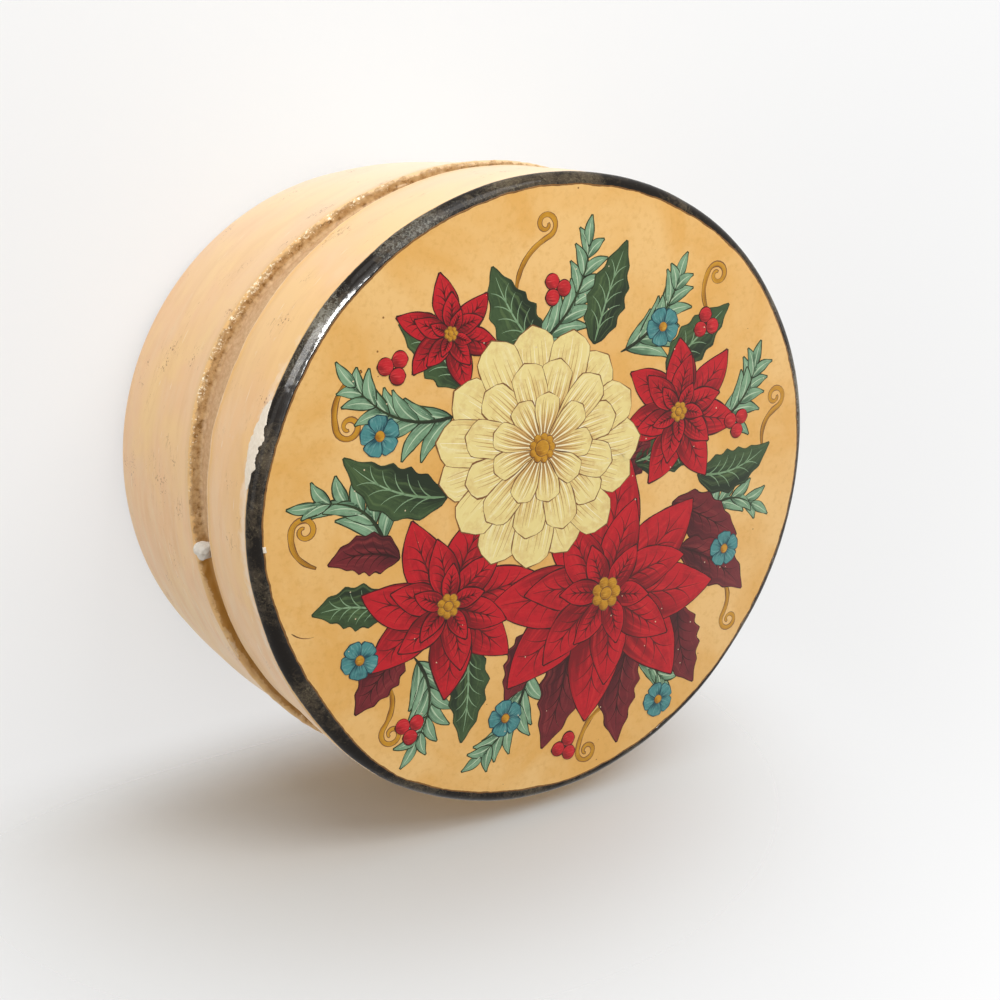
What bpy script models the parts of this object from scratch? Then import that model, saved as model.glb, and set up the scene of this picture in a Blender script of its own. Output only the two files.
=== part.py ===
"""Round papier-mache trinket box with a lift-off lid.

Five pasteboard pieces: a body wall with a turned-in foot, a base disc glued into
that foot, a neck ring glued inside the body's mouth, and a lid made of a short
wall with a disc glued over its end. The neck is a little taller than the lid is
deep, so the lid lands on the neck and a narrow band of the neck shows between
the two halves. Everything is shaped by hand: the rings are slightly oval, the
body leans a little off its foot and its mouth dips on one side.

Lengths in this file are millimetres until a vertex is made. +Z is up, and the
origin is the middle of the box's footprint on the surface it stands on.
"""

import math

import bmesh
import bpy
from mathutils import Matrix, Vector

MM = 0.001

# Driving dimensions
LID_RADIUS = 50.0           # widest radius of the lid, at its rim
LID_HEIGHT = 19.4           # from the lid's lower edge to its rim
LID_DOME = 0.5              # rise of the lid's face from rim to centre
LID_DRAW_IN = 0.35          # how much narrower the lid's lower edge is
REVEAL = 2.6                # height of the neck band that shows, away from the dip
BODY_HEIGHT = 40.3          # from the foot to the body's mouth
BODY_MOUTH_RADIUS = 50.5
BODY_BELLY_RADIUS = 50.1
BODY_SHOULDER_RADIUS = 49.1
BODY_BELLY_HEIGHT = 24.0
FOOT_ROUNDING = 5.0         # outer radius of the turned-in foot
BOARD = 1.9                 # thickness of the pasteboard
MOUTH_BOARD = 2.2           # thickness of the body's wall at its mouth
NECK_BOARD = 1.6            # thickness of the neck ring
LID_BOARD = 2.0             # thickness of the lid's disc at its rim
LID_ROUNDING = 1.9          # radius of the disc's rounded edge
NECK_DEPTH = 8.0            # how far the neck reaches down inside the body
GLUE_GAP = 0.3              # space left between two pieces that touch
SLIDE_GAP = 0.35            # space round the neck, so the lid can slide

# Shaping by hand
OVAL = 0.006                # share by which every ring is longer one way
OVAL_TURN = math.radians(11)
LID_CORNERS = 0.36          # how far the lid's three soft corners stand out
LID_CORNER_TURN = math.radians(-32)
LID_BULGE = 0.45            # a swelling on the lid's rim
LID_BULGE_TURN = math.radians(-5)
LID_BULGE_SPREAD = math.radians(10)
LID_STILL_RADIUS = 20.0     # inside this the lid's face keeps its place
BODY_OVAL = 0.5             # how far the body's outside is drawn out one way
BODY_OVAL_TURN = math.radians(-68)
BODY_SHIFT = Vector((-0.1, 1.0))    # the body's outside, seen from the neck's axis
LEAN = Vector((0.2, 2.2))   # how much further the body's foot is shifted
BELOW_NECK_REACH = 6.0      # height over which the inside takes up the same shift
DIP = 3.9                   # how far the body's mouth sinks at its lowest
DIP_TURN = math.radians(-27)
DIP_SPREAD = math.radians(29)
DIP_REACH = 14.0            # height of wall over which the dip fades out
LID_EDGE_WAVE = 0.25        # unevenness of the lid's lower edge
LID_EDGE_REACH = 6.0
LID_EDGE_TURN = 0.6

SEGMENTS = 80
SHARP_ANGLE = math.radians(35)

# Heights worked out from the driving dimensions
LID_EDGE_Z = BODY_HEIGHT + REVEAL
LID_RIM_Z = LID_EDGE_Z + LID_HEIGHT
LID_DISC_Z = LID_RIM_Z - LID_BOARD
NECK_TOP_Z = LID_DISC_Z - GLUE_GAP
NECK_FOOT_Z = BODY_HEIGHT - NECK_DEPTH
MOUTH_BORE_RADIUS = BODY_MOUTH_RADIUS - MOUTH_BOARD
NECK_RADIUS = MOUTH_BORE_RADIUS - GLUE_GAP
LID_BORE_RADIUS = NECK_RADIUS + SLIDE_GAP

COLOURS = {
    "cream_paint": (0.86, 0.63, 0.38),
    "tan_lacquer": (0.83, 0.50, 0.21),
    "neck_paint": (0.55, 0.37, 0.22),
    "black_lacquer": (0.02, 0.018, 0.015),
}


def clear_scene():
    for thing in list(bpy.data.objects):
        bpy.data.objects.remove(thing, do_unlink=True)


def paint(name, roughness):
    material = bpy.data.materials.new(name)
    material.use_nodes = True
    shader = material.node_tree.nodes["Principled BSDF"]
    shader.inputs["Base Color"].default_value = (*COLOURS[name], 1.0)
    shader.inputs["Roughness"].default_value = roughness
    shader.inputs["Metallic"].default_value = 0.0
    return material


def arc(centre_r, centre_z, radius, start, end, steps):
    """Points (r, z) along a round corner; angles in degrees from the outward side."""
    points = []
    for step in range(steps + 1):
        angle = math.radians(start + (end - start) * step / steps)
        points.append((centre_r + radius * math.cos(angle), centre_z + radius * math.sin(angle)))
    return points


def spread(first, last, steps):
    """Evenly spaced numbers from first to last, both included."""
    return [first + (last - first) * step / steps for step in range(steps + 1)]


def lathe(name, profile, material, closed):
    """Turn a profile of (r, z) points about Z into one closed, smooth-shaded solid."""
    form = bmesh.new()
    verts = [form.verts.new((r * MM, 0.0, z * MM)) for r, z in profile]
    edges = [form.edges.new(pair) for pair in zip(verts, verts[1:])]
    if closed:
        edges.append(form.edges.new((verts[-1], verts[0])))
    bmesh.ops.spin(form, geom=verts + edges, cent=(0, 0, 0), axis=(0, 0, 1),
                   angle=math.tau, steps=SEGMENTS, use_merge=True)
    bmesh.ops.remove_doubles(form, verts=form.verts, dist=0.000001)
    bmesh.ops.recalc_face_normals(form, faces=form.faces)
    mesh = bpy.data.meshes.new(name)
    form.to_mesh(mesh)
    form.free()
    mesh.shade_smooth()
    mesh.set_sharp_from_angle(angle=SHARP_ANGLE)
    mesh.materials.append(material)
    thing = bpy.data.objects.new(name, mesh)
    bpy.context.collection.objects.link(thing)
    return thing


def fade_in(value, start, end):
    """0 below start, 1 above end, and a soft step between."""
    t = min(max((value - start) / (end - start), 0.0), 1.0)
    return t * t * (3.0 - 2.0 * t)


def angle_from(angle, middle):
    """The signed angle from middle, between -pi and pi."""
    return (angle - middle + math.pi) % math.tau - math.pi


def mouth_dip(angle, z):
    """How far the body's wall is drawn down at this angle and height."""
    share = math.exp(-(angle_from(angle, DIP_TURN) / DIP_SPREAD) ** 2)
    return DIP * share * fade_in(z, BODY_HEIGHT - DIP_REACH, BODY_HEIGHT)


def lid_edge_wave(angle, z):
    """The small rise and fall of the lid's hand-cut lower edge."""
    wave = math.sin(3.0 * angle + LID_EDGE_TURN)
    return LID_EDGE_WAVE * wave * fade_in(LID_EDGE_Z + LID_EDGE_REACH - z, 0.0, LID_EDGE_REACH)


def lid_outline(angle, radius, z):
    """How the lid's outside is pushed from a true oval: (x, y)."""
    swell = math.exp(-(angle_from(angle, LID_BULGE_TURN) / LID_BULGE_SPREAD) ** 2)
    push = LID_CORNERS * math.cos(3.0 * (angle - LID_CORNER_TURN)) + LID_BULGE * swell
    still_radius = LID_STILL_RADIUS if z > NECK_TOP_Z else LID_BORE_RADIUS
    return Vector((math.cos(angle), math.sin(angle))) * push * fade_in(radius, still_radius, LID_RADIUS)


def body_outline(angle, radius, z):
    """How the body's outside, and all of it below the neck, is pushed off the neck's axis."""
    outside = fade_in(radius, MOUTH_BORE_RADIUS, BODY_BELLY_RADIUS)
    below_neck = fade_in(NECK_FOOT_Z - z, 0.0, BELOW_NECK_REACH)
    push = BODY_OVAL * math.cos(2.0 * (angle - BODY_OVAL_TURN))
    shift = BODY_SHIFT + LEAN * max(0.0, 1.0 - z / BODY_HEIGHT)
    way = Vector((math.cos(angle), math.sin(angle)))
    return (way * push * radius / BODY_MOUTH_RADIUS + shift) * max(outside, below_neck)


def hand_shape(thing, outline=None, lowered=None):
    """Make a turned piece oval, push its outside about and lower its edge by a rule."""
    for vert in thing.data.vertices:
        x, y, z = vert.co / MM
        angle = math.atan2(y, x)
        swell = 1.0 + OVAL * math.cos(2.0 * (angle - OVAL_TURN))
        place = Vector((x, y)) * swell
        if outline is not None:
            place += outline(angle, math.hypot(x, y), z)
        if lowered is not None:
            z -= lowered(angle, z)
        vert.co = Vector((place.x, place.y, z)) * MM


def body_outer_radius(z):
    """The body's soft barrel: fullest at the belly, drawn in to mouth and shoulder."""
    if z > BODY_BELLY_HEIGHT:
        share = (z - BODY_BELLY_HEIGHT) / (BODY_HEIGHT - BODY_BELLY_HEIGHT)
        return BODY_BELLY_RADIUS - (BODY_BELLY_RADIUS - BODY_MOUTH_RADIUS) * share ** 2
    share = (BODY_BELLY_HEIGHT - z) / (BODY_BELLY_HEIGHT - FOOT_ROUNDING)
    return BODY_BELLY_RADIUS - (BODY_BELLY_RADIUS - BODY_SHOULDER_RADIUS) * share ** 2


def build_body_wall(material):
    """A tube with a rounded lip at its mouth, a seat for the neck and a turned-in foot."""
    outer_lip = 0.6
    inner_lip = 0.3
    seat_depth = NECK_DEPTH + 1.0
    foot_r = BODY_SHOULDER_RADIUS - FOOT_ROUNDING
    heights = spread(BODY_HEIGHT - outer_lip, FOOT_ROUNDING, 8)
    profile = arc(BODY_MOUTH_RADIUS - outer_lip, BODY_HEIGHT - outer_lip, outer_lip, 90, 30, 2)
    profile += [(body_outer_radius(z), z) for z in heights[:-1]]
    profile += arc(foot_r, FOOT_ROUNDING, FOOT_ROUNDING, 0, -90, 5)
    profile += arc(foot_r, FOOT_ROUNDING, FOOT_ROUNDING - BOARD, -90, 0, 4)
    profile += [(body_outer_radius(z) - BOARD, z) for z in reversed(heights[3:-1:2])]
    profile += [(MOUTH_BORE_RADIUS, BODY_HEIGHT - seat_depth)]
    profile += [(MOUTH_BORE_RADIUS, BODY_HEIGHT - inner_lip)]
    profile += [(MOUTH_BORE_RADIUS + inner_lip, BODY_HEIGHT)]
    wall = lathe("body_wall", profile, material, closed=True)
    hand_shape(wall, body_outline, mouth_dip)
    return wall


def build_body_base(material):
    """The disc glued into the foot, level with it underneath."""
    radius = BODY_SHOULDER_RADIUS - FOOT_ROUNDING - GLUE_GAP
    bevel = 0.3
    profile = [(0.0, 0.0), (radius * 0.5, 0.0), (radius - bevel, 0.0), (radius, bevel)]
    profile += [(radius, BOARD - bevel), (radius - bevel, BOARD), (radius * 0.5, BOARD), (0.0, BOARD)]
    base = lathe("body_base", profile, material, closed=False)
    hand_shape(base, body_outline)
    return base


def build_neck_ring(material):
    """The thin inner ring: glued into the body, its top drawn in to guide the lid."""
    inner = NECK_RADIUS - NECK_BOARD
    taper = 0.3
    guide = 3.0
    profile = [(NECK_RADIUS, z) for z in (NECK_FOOT_Z + taper, BODY_HEIGHT, NECK_TOP_Z - guide)]
    profile += [(NECK_RADIUS - taper, NECK_TOP_Z - taper), (NECK_RADIUS - 2.0 * taper, NECK_TOP_Z)]
    profile += [(inner + taper, NECK_TOP_Z), (inner, NECK_TOP_Z - taper), (inner, BODY_HEIGHT)]
    profile += [(inner, NECK_FOOT_Z + taper), (inner + taper, NECK_FOOT_Z)]
    profile += [(NECK_RADIUS - taper, NECK_FOOT_Z)]
    ring = lathe("neck_ring", profile, material, closed=True)
    hand_shape(ring)
    return ring


def build_lid_wall(material):
    """The lid's short side: thin at its lower edge, a little fuller under the disc."""
    round_off = 0.35
    top = LID_DISC_Z - GLUE_GAP
    profile = [(LID_RADIUS, top), (LID_RADIUS, LID_EDGE_Z + 2.0 * LID_EDGE_REACH)]
    profile += [(LID_RADIUS - LID_DRAW_IN / 2, LID_EDGE_Z + LID_EDGE_REACH)]
    profile += arc(LID_RADIUS - LID_DRAW_IN - round_off, LID_EDGE_Z + round_off, round_off, 0, -90, 2)
    profile += [(LID_BORE_RADIUS + round_off / 2, LID_EDGE_Z)]
    profile += [(LID_BORE_RADIUS, LID_EDGE_Z + round_off)]
    profile += [(LID_BORE_RADIUS, LID_EDGE_Z + LID_EDGE_REACH), (LID_BORE_RADIUS, top)]
    wall = lathe("lid_wall", profile, material, closed=True)
    hand_shape(wall, lid_outline, lid_edge_wave)
    return wall


def build_lid_disc(material):
    """The lid's face: a board disc with a rounded edge and a slight dome."""
    face_radius = LID_RADIUS - LID_ROUNDING
    profile = [(0.0, LID_DISC_Z), (LID_BORE_RADIUS, LID_DISC_Z), (LID_RADIUS, LID_DISC_Z)]
    profile += arc(face_radius, LID_RIM_Z - LID_ROUNDING, LID_ROUNDING, 0, 90, 5)
    for share in (0.8, 0.6, 0.4, 0.2, 0.0):
        profile.append((face_radius * share, LID_RIM_Z + LID_DOME * (1.0 - share ** 2)))
    disc = lathe("lid_disc", profile, material, closed=False)
    hand_shape(disc, lid_outline)
    return disc


def centre_on_origin(things):
    """Slide everything so that the middle of the whole box is at X = Y = 0, and return the slide."""
    spots = [vert.co for thing in things for vert in thing.data.vertices]
    low_x, high_x = min(spot.x for spot in spots), max(spot.x for spot in spots)
    low_y, high_y = min(spot.y for spot in spots), max(spot.y for spot in spots)
    shift = Vector((-(low_x + high_x) / 2, -(low_y + high_y) / 2, 0.0))
    for thing in things:
        thing.data.transform(Matrix.Translation(shift))
    return shift


def gather_lid(parts, axis_place):
    """Hang the lid's pieces on an empty on the lid's axis, along which the lid lifts off."""
    handle = bpy.data.objects.new("lid_slide", None)
    handle.location = axis_place + Vector((0.0, 0.0, LID_EDGE_Z * MM))
    bpy.context.collection.objects.link(handle)
    for part in parts:
        part.parent = handle
        part.matrix_parent_inverse = Matrix.Translation(-handle.location)


def main():
    clear_scene()
    cream = paint("cream_paint", 0.45)
    tan = paint("tan_lacquer", 0.28)
    neck_tan = paint("neck_paint", 0.6)
    black = paint("black_lacquer", 0.35)
    box = [build_body_wall(cream), build_body_base(black), build_neck_ring(neck_tan)]
    lid = [build_lid_wall(cream), build_lid_disc(tan)]
    axis_place = centre_on_origin(box + lid)
    gather_lid(lid, axis_place)


main()
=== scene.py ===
"""The looks of a round lacquered papier-mache trinket box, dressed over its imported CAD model.

Lengths in this file are millimetres until a vertex is made. +Z is up, and angles turn about
the lid's axis, from +X towards +Y.
"""

import math
import random

import bmesh
import bpy
from mathutils import Matrix, Vector, noise


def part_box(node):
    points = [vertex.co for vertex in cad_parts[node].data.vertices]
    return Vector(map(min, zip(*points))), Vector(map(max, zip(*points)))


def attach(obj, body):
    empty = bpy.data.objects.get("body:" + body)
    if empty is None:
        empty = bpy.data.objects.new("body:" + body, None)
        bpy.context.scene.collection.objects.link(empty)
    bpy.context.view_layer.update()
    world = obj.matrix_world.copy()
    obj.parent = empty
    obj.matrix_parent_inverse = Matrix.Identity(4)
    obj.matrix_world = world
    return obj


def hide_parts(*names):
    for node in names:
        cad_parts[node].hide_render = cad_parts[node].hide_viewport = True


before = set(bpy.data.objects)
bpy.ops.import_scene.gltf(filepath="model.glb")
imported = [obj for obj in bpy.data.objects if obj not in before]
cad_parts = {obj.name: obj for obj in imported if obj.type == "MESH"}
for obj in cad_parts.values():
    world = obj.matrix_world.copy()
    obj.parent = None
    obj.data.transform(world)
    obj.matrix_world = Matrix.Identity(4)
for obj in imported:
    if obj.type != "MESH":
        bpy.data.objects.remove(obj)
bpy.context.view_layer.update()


# The base: a round board glued into the foot and brushed with black lacquer on both sides. Like
# every part of the box it is shaped by hand, so it follows the body's slight oval and lean.
MM = 0.001
OVAL = 0.006
OVAL_TURN = math.radians(11)
BODY_OVAL = 0.5
BODY_OVAL_TURN = math.radians(-68)
BODY_SHIFT = Vector((-0.1, 1.0))
LEAN = Vector((0.2, 2.2))
BELOW_NECK_REACH = 6.0
BODY_MOUTH_RADIUS = 50.5
BODY_BELLY_RADIUS = 50.1
BODY_SHOULDER_RADIUS = 49.1
MOUTH_BOARD = 2.2
BOARD = 1.9
FOOT_ROUNDING = 5.0
FOOT_INNER_RADIUS = BODY_SHOULDER_RADIUS - FOOT_ROUNDING

neck_low, neck_high = (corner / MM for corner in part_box("neck_ring"))
AXIS = (neck_low.xy + neck_high.xy) / 2
NECK_FOOT_Z = neck_low.z
NECK_TOP_Z = neck_high.z
BODY_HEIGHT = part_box("body_wall")[1].z / MM


def srgb(code):
    """A colour written as sRGB hex, as the linear numbers that a shader takes."""
    shares = [int(code[place:place + 2], 16) / 255 for place in (1, 3, 5)]
    linear = [s / 12.92 if s <= 0.04045 else ((s + 0.055) / 1.055) ** 2.4 for s in shares]
    return (*linear, 1.0)


def wire(tree, node, links):
    """Sets a node's sockets to values, or links them to sockets or to nodes' first outputs."""
    for name, value in links.items():
        if isinstance(value, bpy.types.Node):
            value = value.outputs[0]
        if isinstance(value, bpy.types.NodeSocket):
            tree.links.new(value, node.inputs[name])
        else:
            node.inputs[name].default_value = value


def add(tree, kind, links=None, **settings):
    """One shader node with its settings and its links."""
    made = tree.nodes.new("ShaderNode" + kind)
    for name, value in settings.items():
        setattr(made, name, value)
    wire(tree, made, links or {})
    return made


def clouds(tree, place, scale, detail, roughness=0.5, distortion=0.0):
    """Cloudy noise, its coarsest clouds as wide as the scale makes them."""
    return add(tree, "TexNoise", {
        "Vector": place, "Scale": scale, "Detail": detail, "Roughness": roughness,
        "Distortion": distortion})


def ramp(tree, value, start, end, low=0.0, high=1.0):
    """A value that goes from low to high while another goes from start to end, and no further."""
    return add(tree, "MapRange", {
        "Value": value, "From Min": start, "From Max": end, "To Min": low, "To Max": high})


def mix(tree, share, first, second):
    """The first colour where share is 0 and the second where it is 1. A colour may be written as
    sRGB hex."""
    first, second = (srgb(c) if isinstance(c, str) else c for c in (first, second))
    return add(tree, "MixRGB", {"Fac": share, "Color1": first, "Color2": second})


def calculate(tree, operation, *values):
    """One operation on numbers. MULTIPLY_ADD multiplies the first two and adds the third."""
    return add(tree, "Math", dict(enumerate(values)), operation=operation)


def painted_mark(tree, name):
    """The socket that gives one of the marks painted on a piece's mesh."""
    return add(tree, "Attribute", attribute_name=name).outputs["Fac"]


def bumps(tree, height, depth, strength, under=None):
    """Bumps this many millimetres deep, laid over other bumps where under gives them."""
    links = {"Height": height, "Distance": depth * MM, "Strength": strength}
    if under:
        links["Normal"] = under
    return add(tree, "Bump", links)


def start_material(name, roughness, coat=0.0, coat_roughness=0.1, specular=0.5):
    """A material with the settings that are the same all over it, its shader, its tree, and the
    socket that gives a place on the object."""
    material = bpy.data.materials.new(name)
    material.use_nodes = True
    tree = material.node_tree
    shader = tree.nodes["Principled BSDF"]
    wire(tree, shader, {
        "Roughness": roughness, "IOR": 1.5, "Specular IOR Level": specular, "Coat Weight": coat,
        "Coat Roughness": coat_roughness})
    return material, shader, tree, add(tree, "TexCoord").outputs["Object"]


def per_mm(size):
    """The scale of a texture whose features are about this many millimetres across."""
    return 1.0 / (size * MM)


def fade_in(value, start, end):
    """0 below start, 1 above end, and a soft step between."""
    t = min(max((value - start) / (end - start), 0.0), 1.0)
    return t * t * (3.0 - 2.0 * t)


def angle_from(angle, middle):
    """The signed angle from middle, between -pi and pi."""
    return (angle - middle + math.pi) % math.tau - math.pi


def swelling(angle, middle, reach):
    """A soft hill round the box: 1 at the angle middle, fading over about reach. In degrees."""
    return math.exp(-(angle_from(angle, math.radians(middle)) / math.radians(reach)) ** 2)


def toward(angle):
    """The level unit vector that points this way."""
    return Vector((math.cos(angle), math.sin(angle)))


def swellings(angle, places):
    """Several swellings together, from their middles, their reaches and their heights."""
    return sum(height * swelling(angle, middle, reach) for middle, reach, height in places)


def spread(first, last, step):
    """Evenly spaced numbers from first to last, both included, about a step apart."""
    count = max(1, round(abs(last - first) / step))
    return [first + (last - first) * i / count for i in range(count + 1)]


def arc(centre_r, centre_z, radius, start, end, steps):
    """Points (r, z) along a round corner; angles in degrees from the outward side."""
    turns = [math.radians(start + (end - start) * i / steps) for i in range(steps + 1)]
    return [(centre_r + radius * math.cos(turn), centre_z + radius * math.sin(turn))
            for turn in turns]


def wave(spot, size, amount):
    """The unevenness of a hand-smoothed surface, in waves of about this size."""
    return amount * noise.noise(Vector(spot) / size)


def waves(spot, sizes):
    """Waves of several sizes together, from pairs of size and amount."""
    return sum(wave(spot, size, amount) for size, amount in sizes)


def make_piece(name, spots, faces, materials, body, slot, replaced=(), marks=None, firm=None):
    """A named mesh with its materials and painted marks, riding on a body of the CAD model. Where
    firm is given, edges that turn by more degrees than that stay sharp."""
    mesh = bpy.data.meshes.new(name)
    mesh.from_pydata([Vector(spot) * MM for spot in spots], [], faces)
    for mark, values in (marks or {}).items():
        mesh.attributes.new(mark, "FLOAT", "POINT").data.foreach_set("value", values)
    form = bmesh.new()
    form.from_mesh(mesh)
    bmesh.ops.recalc_face_normals(form, faces=form.faces)
    form.to_mesh(mesh)
    form.free()
    mesh.shade_smooth()
    if firm:
        mesh.set_sharp_from_angle(angle=math.radians(firm))
    for material in materials:
        mesh.materials.append(material)
    piece = bpy.data.objects.new(name, mesh)
    bpy.context.collection.objects.link(piece)
    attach(piece, body)
    if replaced:
        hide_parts(*replaced)
    return piece


def turned(profile, segments, closed, place, facts=None):
    """The (r, z) points of a profile turned about the axis: vertices, faces and painted marks.
    place gives a vertex from its angle, radius and height, and facts gives its marks."""
    spots, rings, marks, faces = [], [], {}, []
    for r, z in profile:
        count = segments if r > 0.0 else 1
        rings.append([len(spots) + j for j in range(count)])
        for j in range(count):
            angle = math.tau * j / segments - math.pi
            spots.append(place(angle, r, z))
            for mark, value in (facts(angle, r, z) if facts else {}).items():
                marks.setdefault(mark, []).append(value)
    pairs = list(zip(rings, rings[1:])) + ([(rings[-1], rings[0])] if closed else [])
    for low, high in pairs:
        for j in range(segments):
            k = (j + 1) % segments
            corners = [ring[i % len(ring)]
                       for ring, i in ((low, j), (low, k), (high, k), (high, j))]
            faces.append(list(dict.fromkeys(corners)))
    return spots, faces, marks


def black_from(piece, segments, ring):
    """Gives a turned piece its second material, black lacquer, from this ring of faces on."""
    black = [int(i // segments >= ring) for i in range(len(piece.data.polygons))]
    piece.data.polygons.foreach_set("material_index", black)


def body_outline(angle, radius, z):
    """How the body's outside, and all of it below the neck, is pushed off the neck's axis."""
    outside = fade_in(radius, BODY_MOUTH_RADIUS - MOUTH_BOARD, BODY_BELLY_RADIUS)
    below_neck = fade_in(NECK_FOOT_Z - z, 0.0, BELOW_NECK_REACH)
    push = BODY_OVAL * math.cos(2.0 * (angle - BODY_OVAL_TURN))
    shift = BODY_SHIFT + LEAN * max(0.0, 1.0 - z / BODY_HEIGHT)
    return (toward(angle) * push * radius / BODY_MOUTH_RADIUS + shift) * max(outside, below_neck)


def oval_place(angle, radius):
    """A place round the axis on the slight oval that all the rings share."""
    swell = 1.0 + OVAL * math.cos(2.0 * (angle - OVAL_TURN))
    return AXIS + toward(angle) * radius * swell


def base_place(angle, r, z):
    """A place on the base board, on the same oval as the foot."""
    spot = oval_place(angle, r) + body_outline(angle, r, z)
    return (spot.x, spot.y, z)


def make_black_lacquer():
    """Asphaltum lacquer, brushed on: nearly black and satin, browner where it is thin, with faint
    brush ridges."""
    material, shader, tree, place = start_material(
        "asphaltum_lacquer", 0.36, coat=0.3, coat_roughness=0.2)
    thin = clouds(tree, place, per_mm(9.0), 5.0)
    colour = mix(tree, thin, "#14110F", "#2A211A")
    ridges = clouds(tree, place, per_mm(0.9), 3.0)
    bump = bumps(tree, ridges, 0.05, 0.6)
    wire(tree, shader, {"Base Color": colour, "Normal": bump})
    return material


BASE_SEGMENTS = 240
BASE_GAP = 0.04
BASE_BEVEL = 0.15
PLAIN_STEP = 4.0
base_radius = FOOT_INNER_RADIUS - BASE_GAP
base_rings = spread(0.0, base_radius - BASE_BEVEL, PLAIN_STEP)
base_profile = [(r, 0.0) for r in base_rings] + [(base_radius, BASE_BEVEL)]
base_profile += [(base_radius, BOARD - BASE_BEVEL)] + [(r, BOARD) for r in reversed(base_rings)]
black_lacquer = make_black_lacquer()
base_spots, base_faces, _ = turned(base_profile, BASE_SEGMENTS, False, base_place)
make_piece("base_board", base_spots, base_faces, [black_lacquer], "box", "base_lacquer",
           ["body_base"])


# The body wall: a tube of pasteboard with a foot that turns in, covered with gesso and brushed
# round with cream paint under a satin lacquer. The cut edge at its mouth was gilded; the gold is
# worn to flecks over brown bole. Inside and underneath it is black.
DIP = 4.4
DIP_TURN = -30
DIP_SPREAD = 32
DIP_REACH = 14.0
BODY_BELLY_HEIGHT = 24.0
SEAT_DEPTH = 9.0
WALL_SEGMENTS = 1080
WALL_STEP = 1.6
LIP_ROUNDING = 0.6
LIP_STEP = 0.3
LIP_ROUGHNESS = 0.15
LIP_REACH = 2.4
CRUST_STARTS = (-0.9, -0.1)
CRUST_ENDS = (-1.3, -0.5)
CRUST_LUMP = 1.3
CRUST_CRUMB = 0.7
WALL_WAVES = (11.0, 0.22)
STILL_FOOT = (0.5, 6.0)
LIP_FILLET = 0.6
INSIDE_STEP = 3.0
SEAT_SLOPE = 2.0
MOUTH_RING = 1.0
PAINT_OVER_LIP = 0.5
UNDERSIDE_EDGE_Z = 1.1
UNDERSIDE_WAVES = (7.0, 0.5)
NECK_RADIUS = BODY_MOUTH_RADIUS - MOUTH_BOARD - 0.3
STAIN = (28, 22)
GILT_LEFT = (-36, 34)
THIN_PAINT = (42, 38)
# The side that the light falls on most, where the paint is painted paler as a highlight.
PALE_LIT_SIDE = (-98, 38)


def body_outer_radius(z):
    """The body's soft barrel: fullest at the belly, drawn in to mouth and shoulder."""
    if z > BODY_BELLY_HEIGHT:
        share = (z - BODY_BELLY_HEIGHT) / (BODY_HEIGHT - BODY_BELLY_HEIGHT)
        return BODY_BELLY_RADIUS - (BODY_BELLY_RADIUS - BODY_MOUTH_RADIUS) * share ** 2
    share = (BODY_BELLY_HEIGHT - z) / (BODY_BELLY_HEIGHT - FOOT_ROUNDING)
    return BODY_BELLY_RADIUS - (BODY_BELLY_RADIUS - BODY_SHOULDER_RADIUS) * share ** 2


def lip_distance(r, z):
    """Millimetres in across the lip's flat top, and below 0 down the outside."""
    if r >= BODY_MOUTH_RADIUS - LIP_ROUNDING:
        return z - BODY_HEIGHT
    return BODY_MOUTH_RADIUS - LIP_ROUNDING - r if z > BODY_HEIGHT - SEAT_DEPTH else -BODY_HEIGHT


def body_place(angle, r, z):
    """A place on the body wall: out of round, dipped and crusted at its mouth, and uneven."""
    spot = oval_place(angle, r) + body_outline(angle, r, z)
    near_mouth = fade_in(z, BODY_HEIGHT - DIP_REACH, BODY_HEIGHT)
    lowered = DIP * swelling(angle, DIP_TURN, DIP_SPREAD) * near_mouth
    place = Vector((spot.x, spot.y, z - lowered))
    way_in = lip_distance(r, z)
    rough = LIP_ROUGHNESS * fade_in(way_in, *CRUST_STARTS) * fade_in(-way_in, *CRUST_ENDS)
    out = toward(angle).to_3d()
    outside = r > NECK_RADIUS + MOUTH_BOARD / 2
    place += out * (wave(place, *WALL_WAVES) * fade_in(z, *STILL_FOOT) * outside)
    crust = waves(place, ((CRUST_LUMP, rough), (CRUST_CRUMB, rough / 2)))
    return place + Vector((out.x, out.y, 1.0)) * crust


def body_marks(angle, r, z):
    spot = (r * math.cos(angle), r * math.sin(angle), 0.0)
    underside = UNDERSIDE_EDGE_Z - z + wave(spot, *UNDERSIDE_WAVES)
    stain = swelling(angle, *STAIN)
    return {"lip": lip_distance(r, z) - PAINT_OVER_LIP * stain, "underside": underside,
            "thin": swelling(angle, *THIN_PAINT), "bleached": swelling(angle, *PALE_LIT_SIDE),
            "gilt": swelling(angle, *GILT_LEFT), "stain": stain}


def level_streaks(tree, place, length, width, detail, roughness=0.5, distortion=0.0):
    """Noise drawn out level, into streaks of about this length and width in millimetres."""
    drawn_out = add(tree, "Mapping", {
        "Vector": place, "Scale": (per_mm(length), per_mm(length), per_mm(width))})
    return clouds(tree, drawn_out, 1.0, detail, roughness, distortion)


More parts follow.
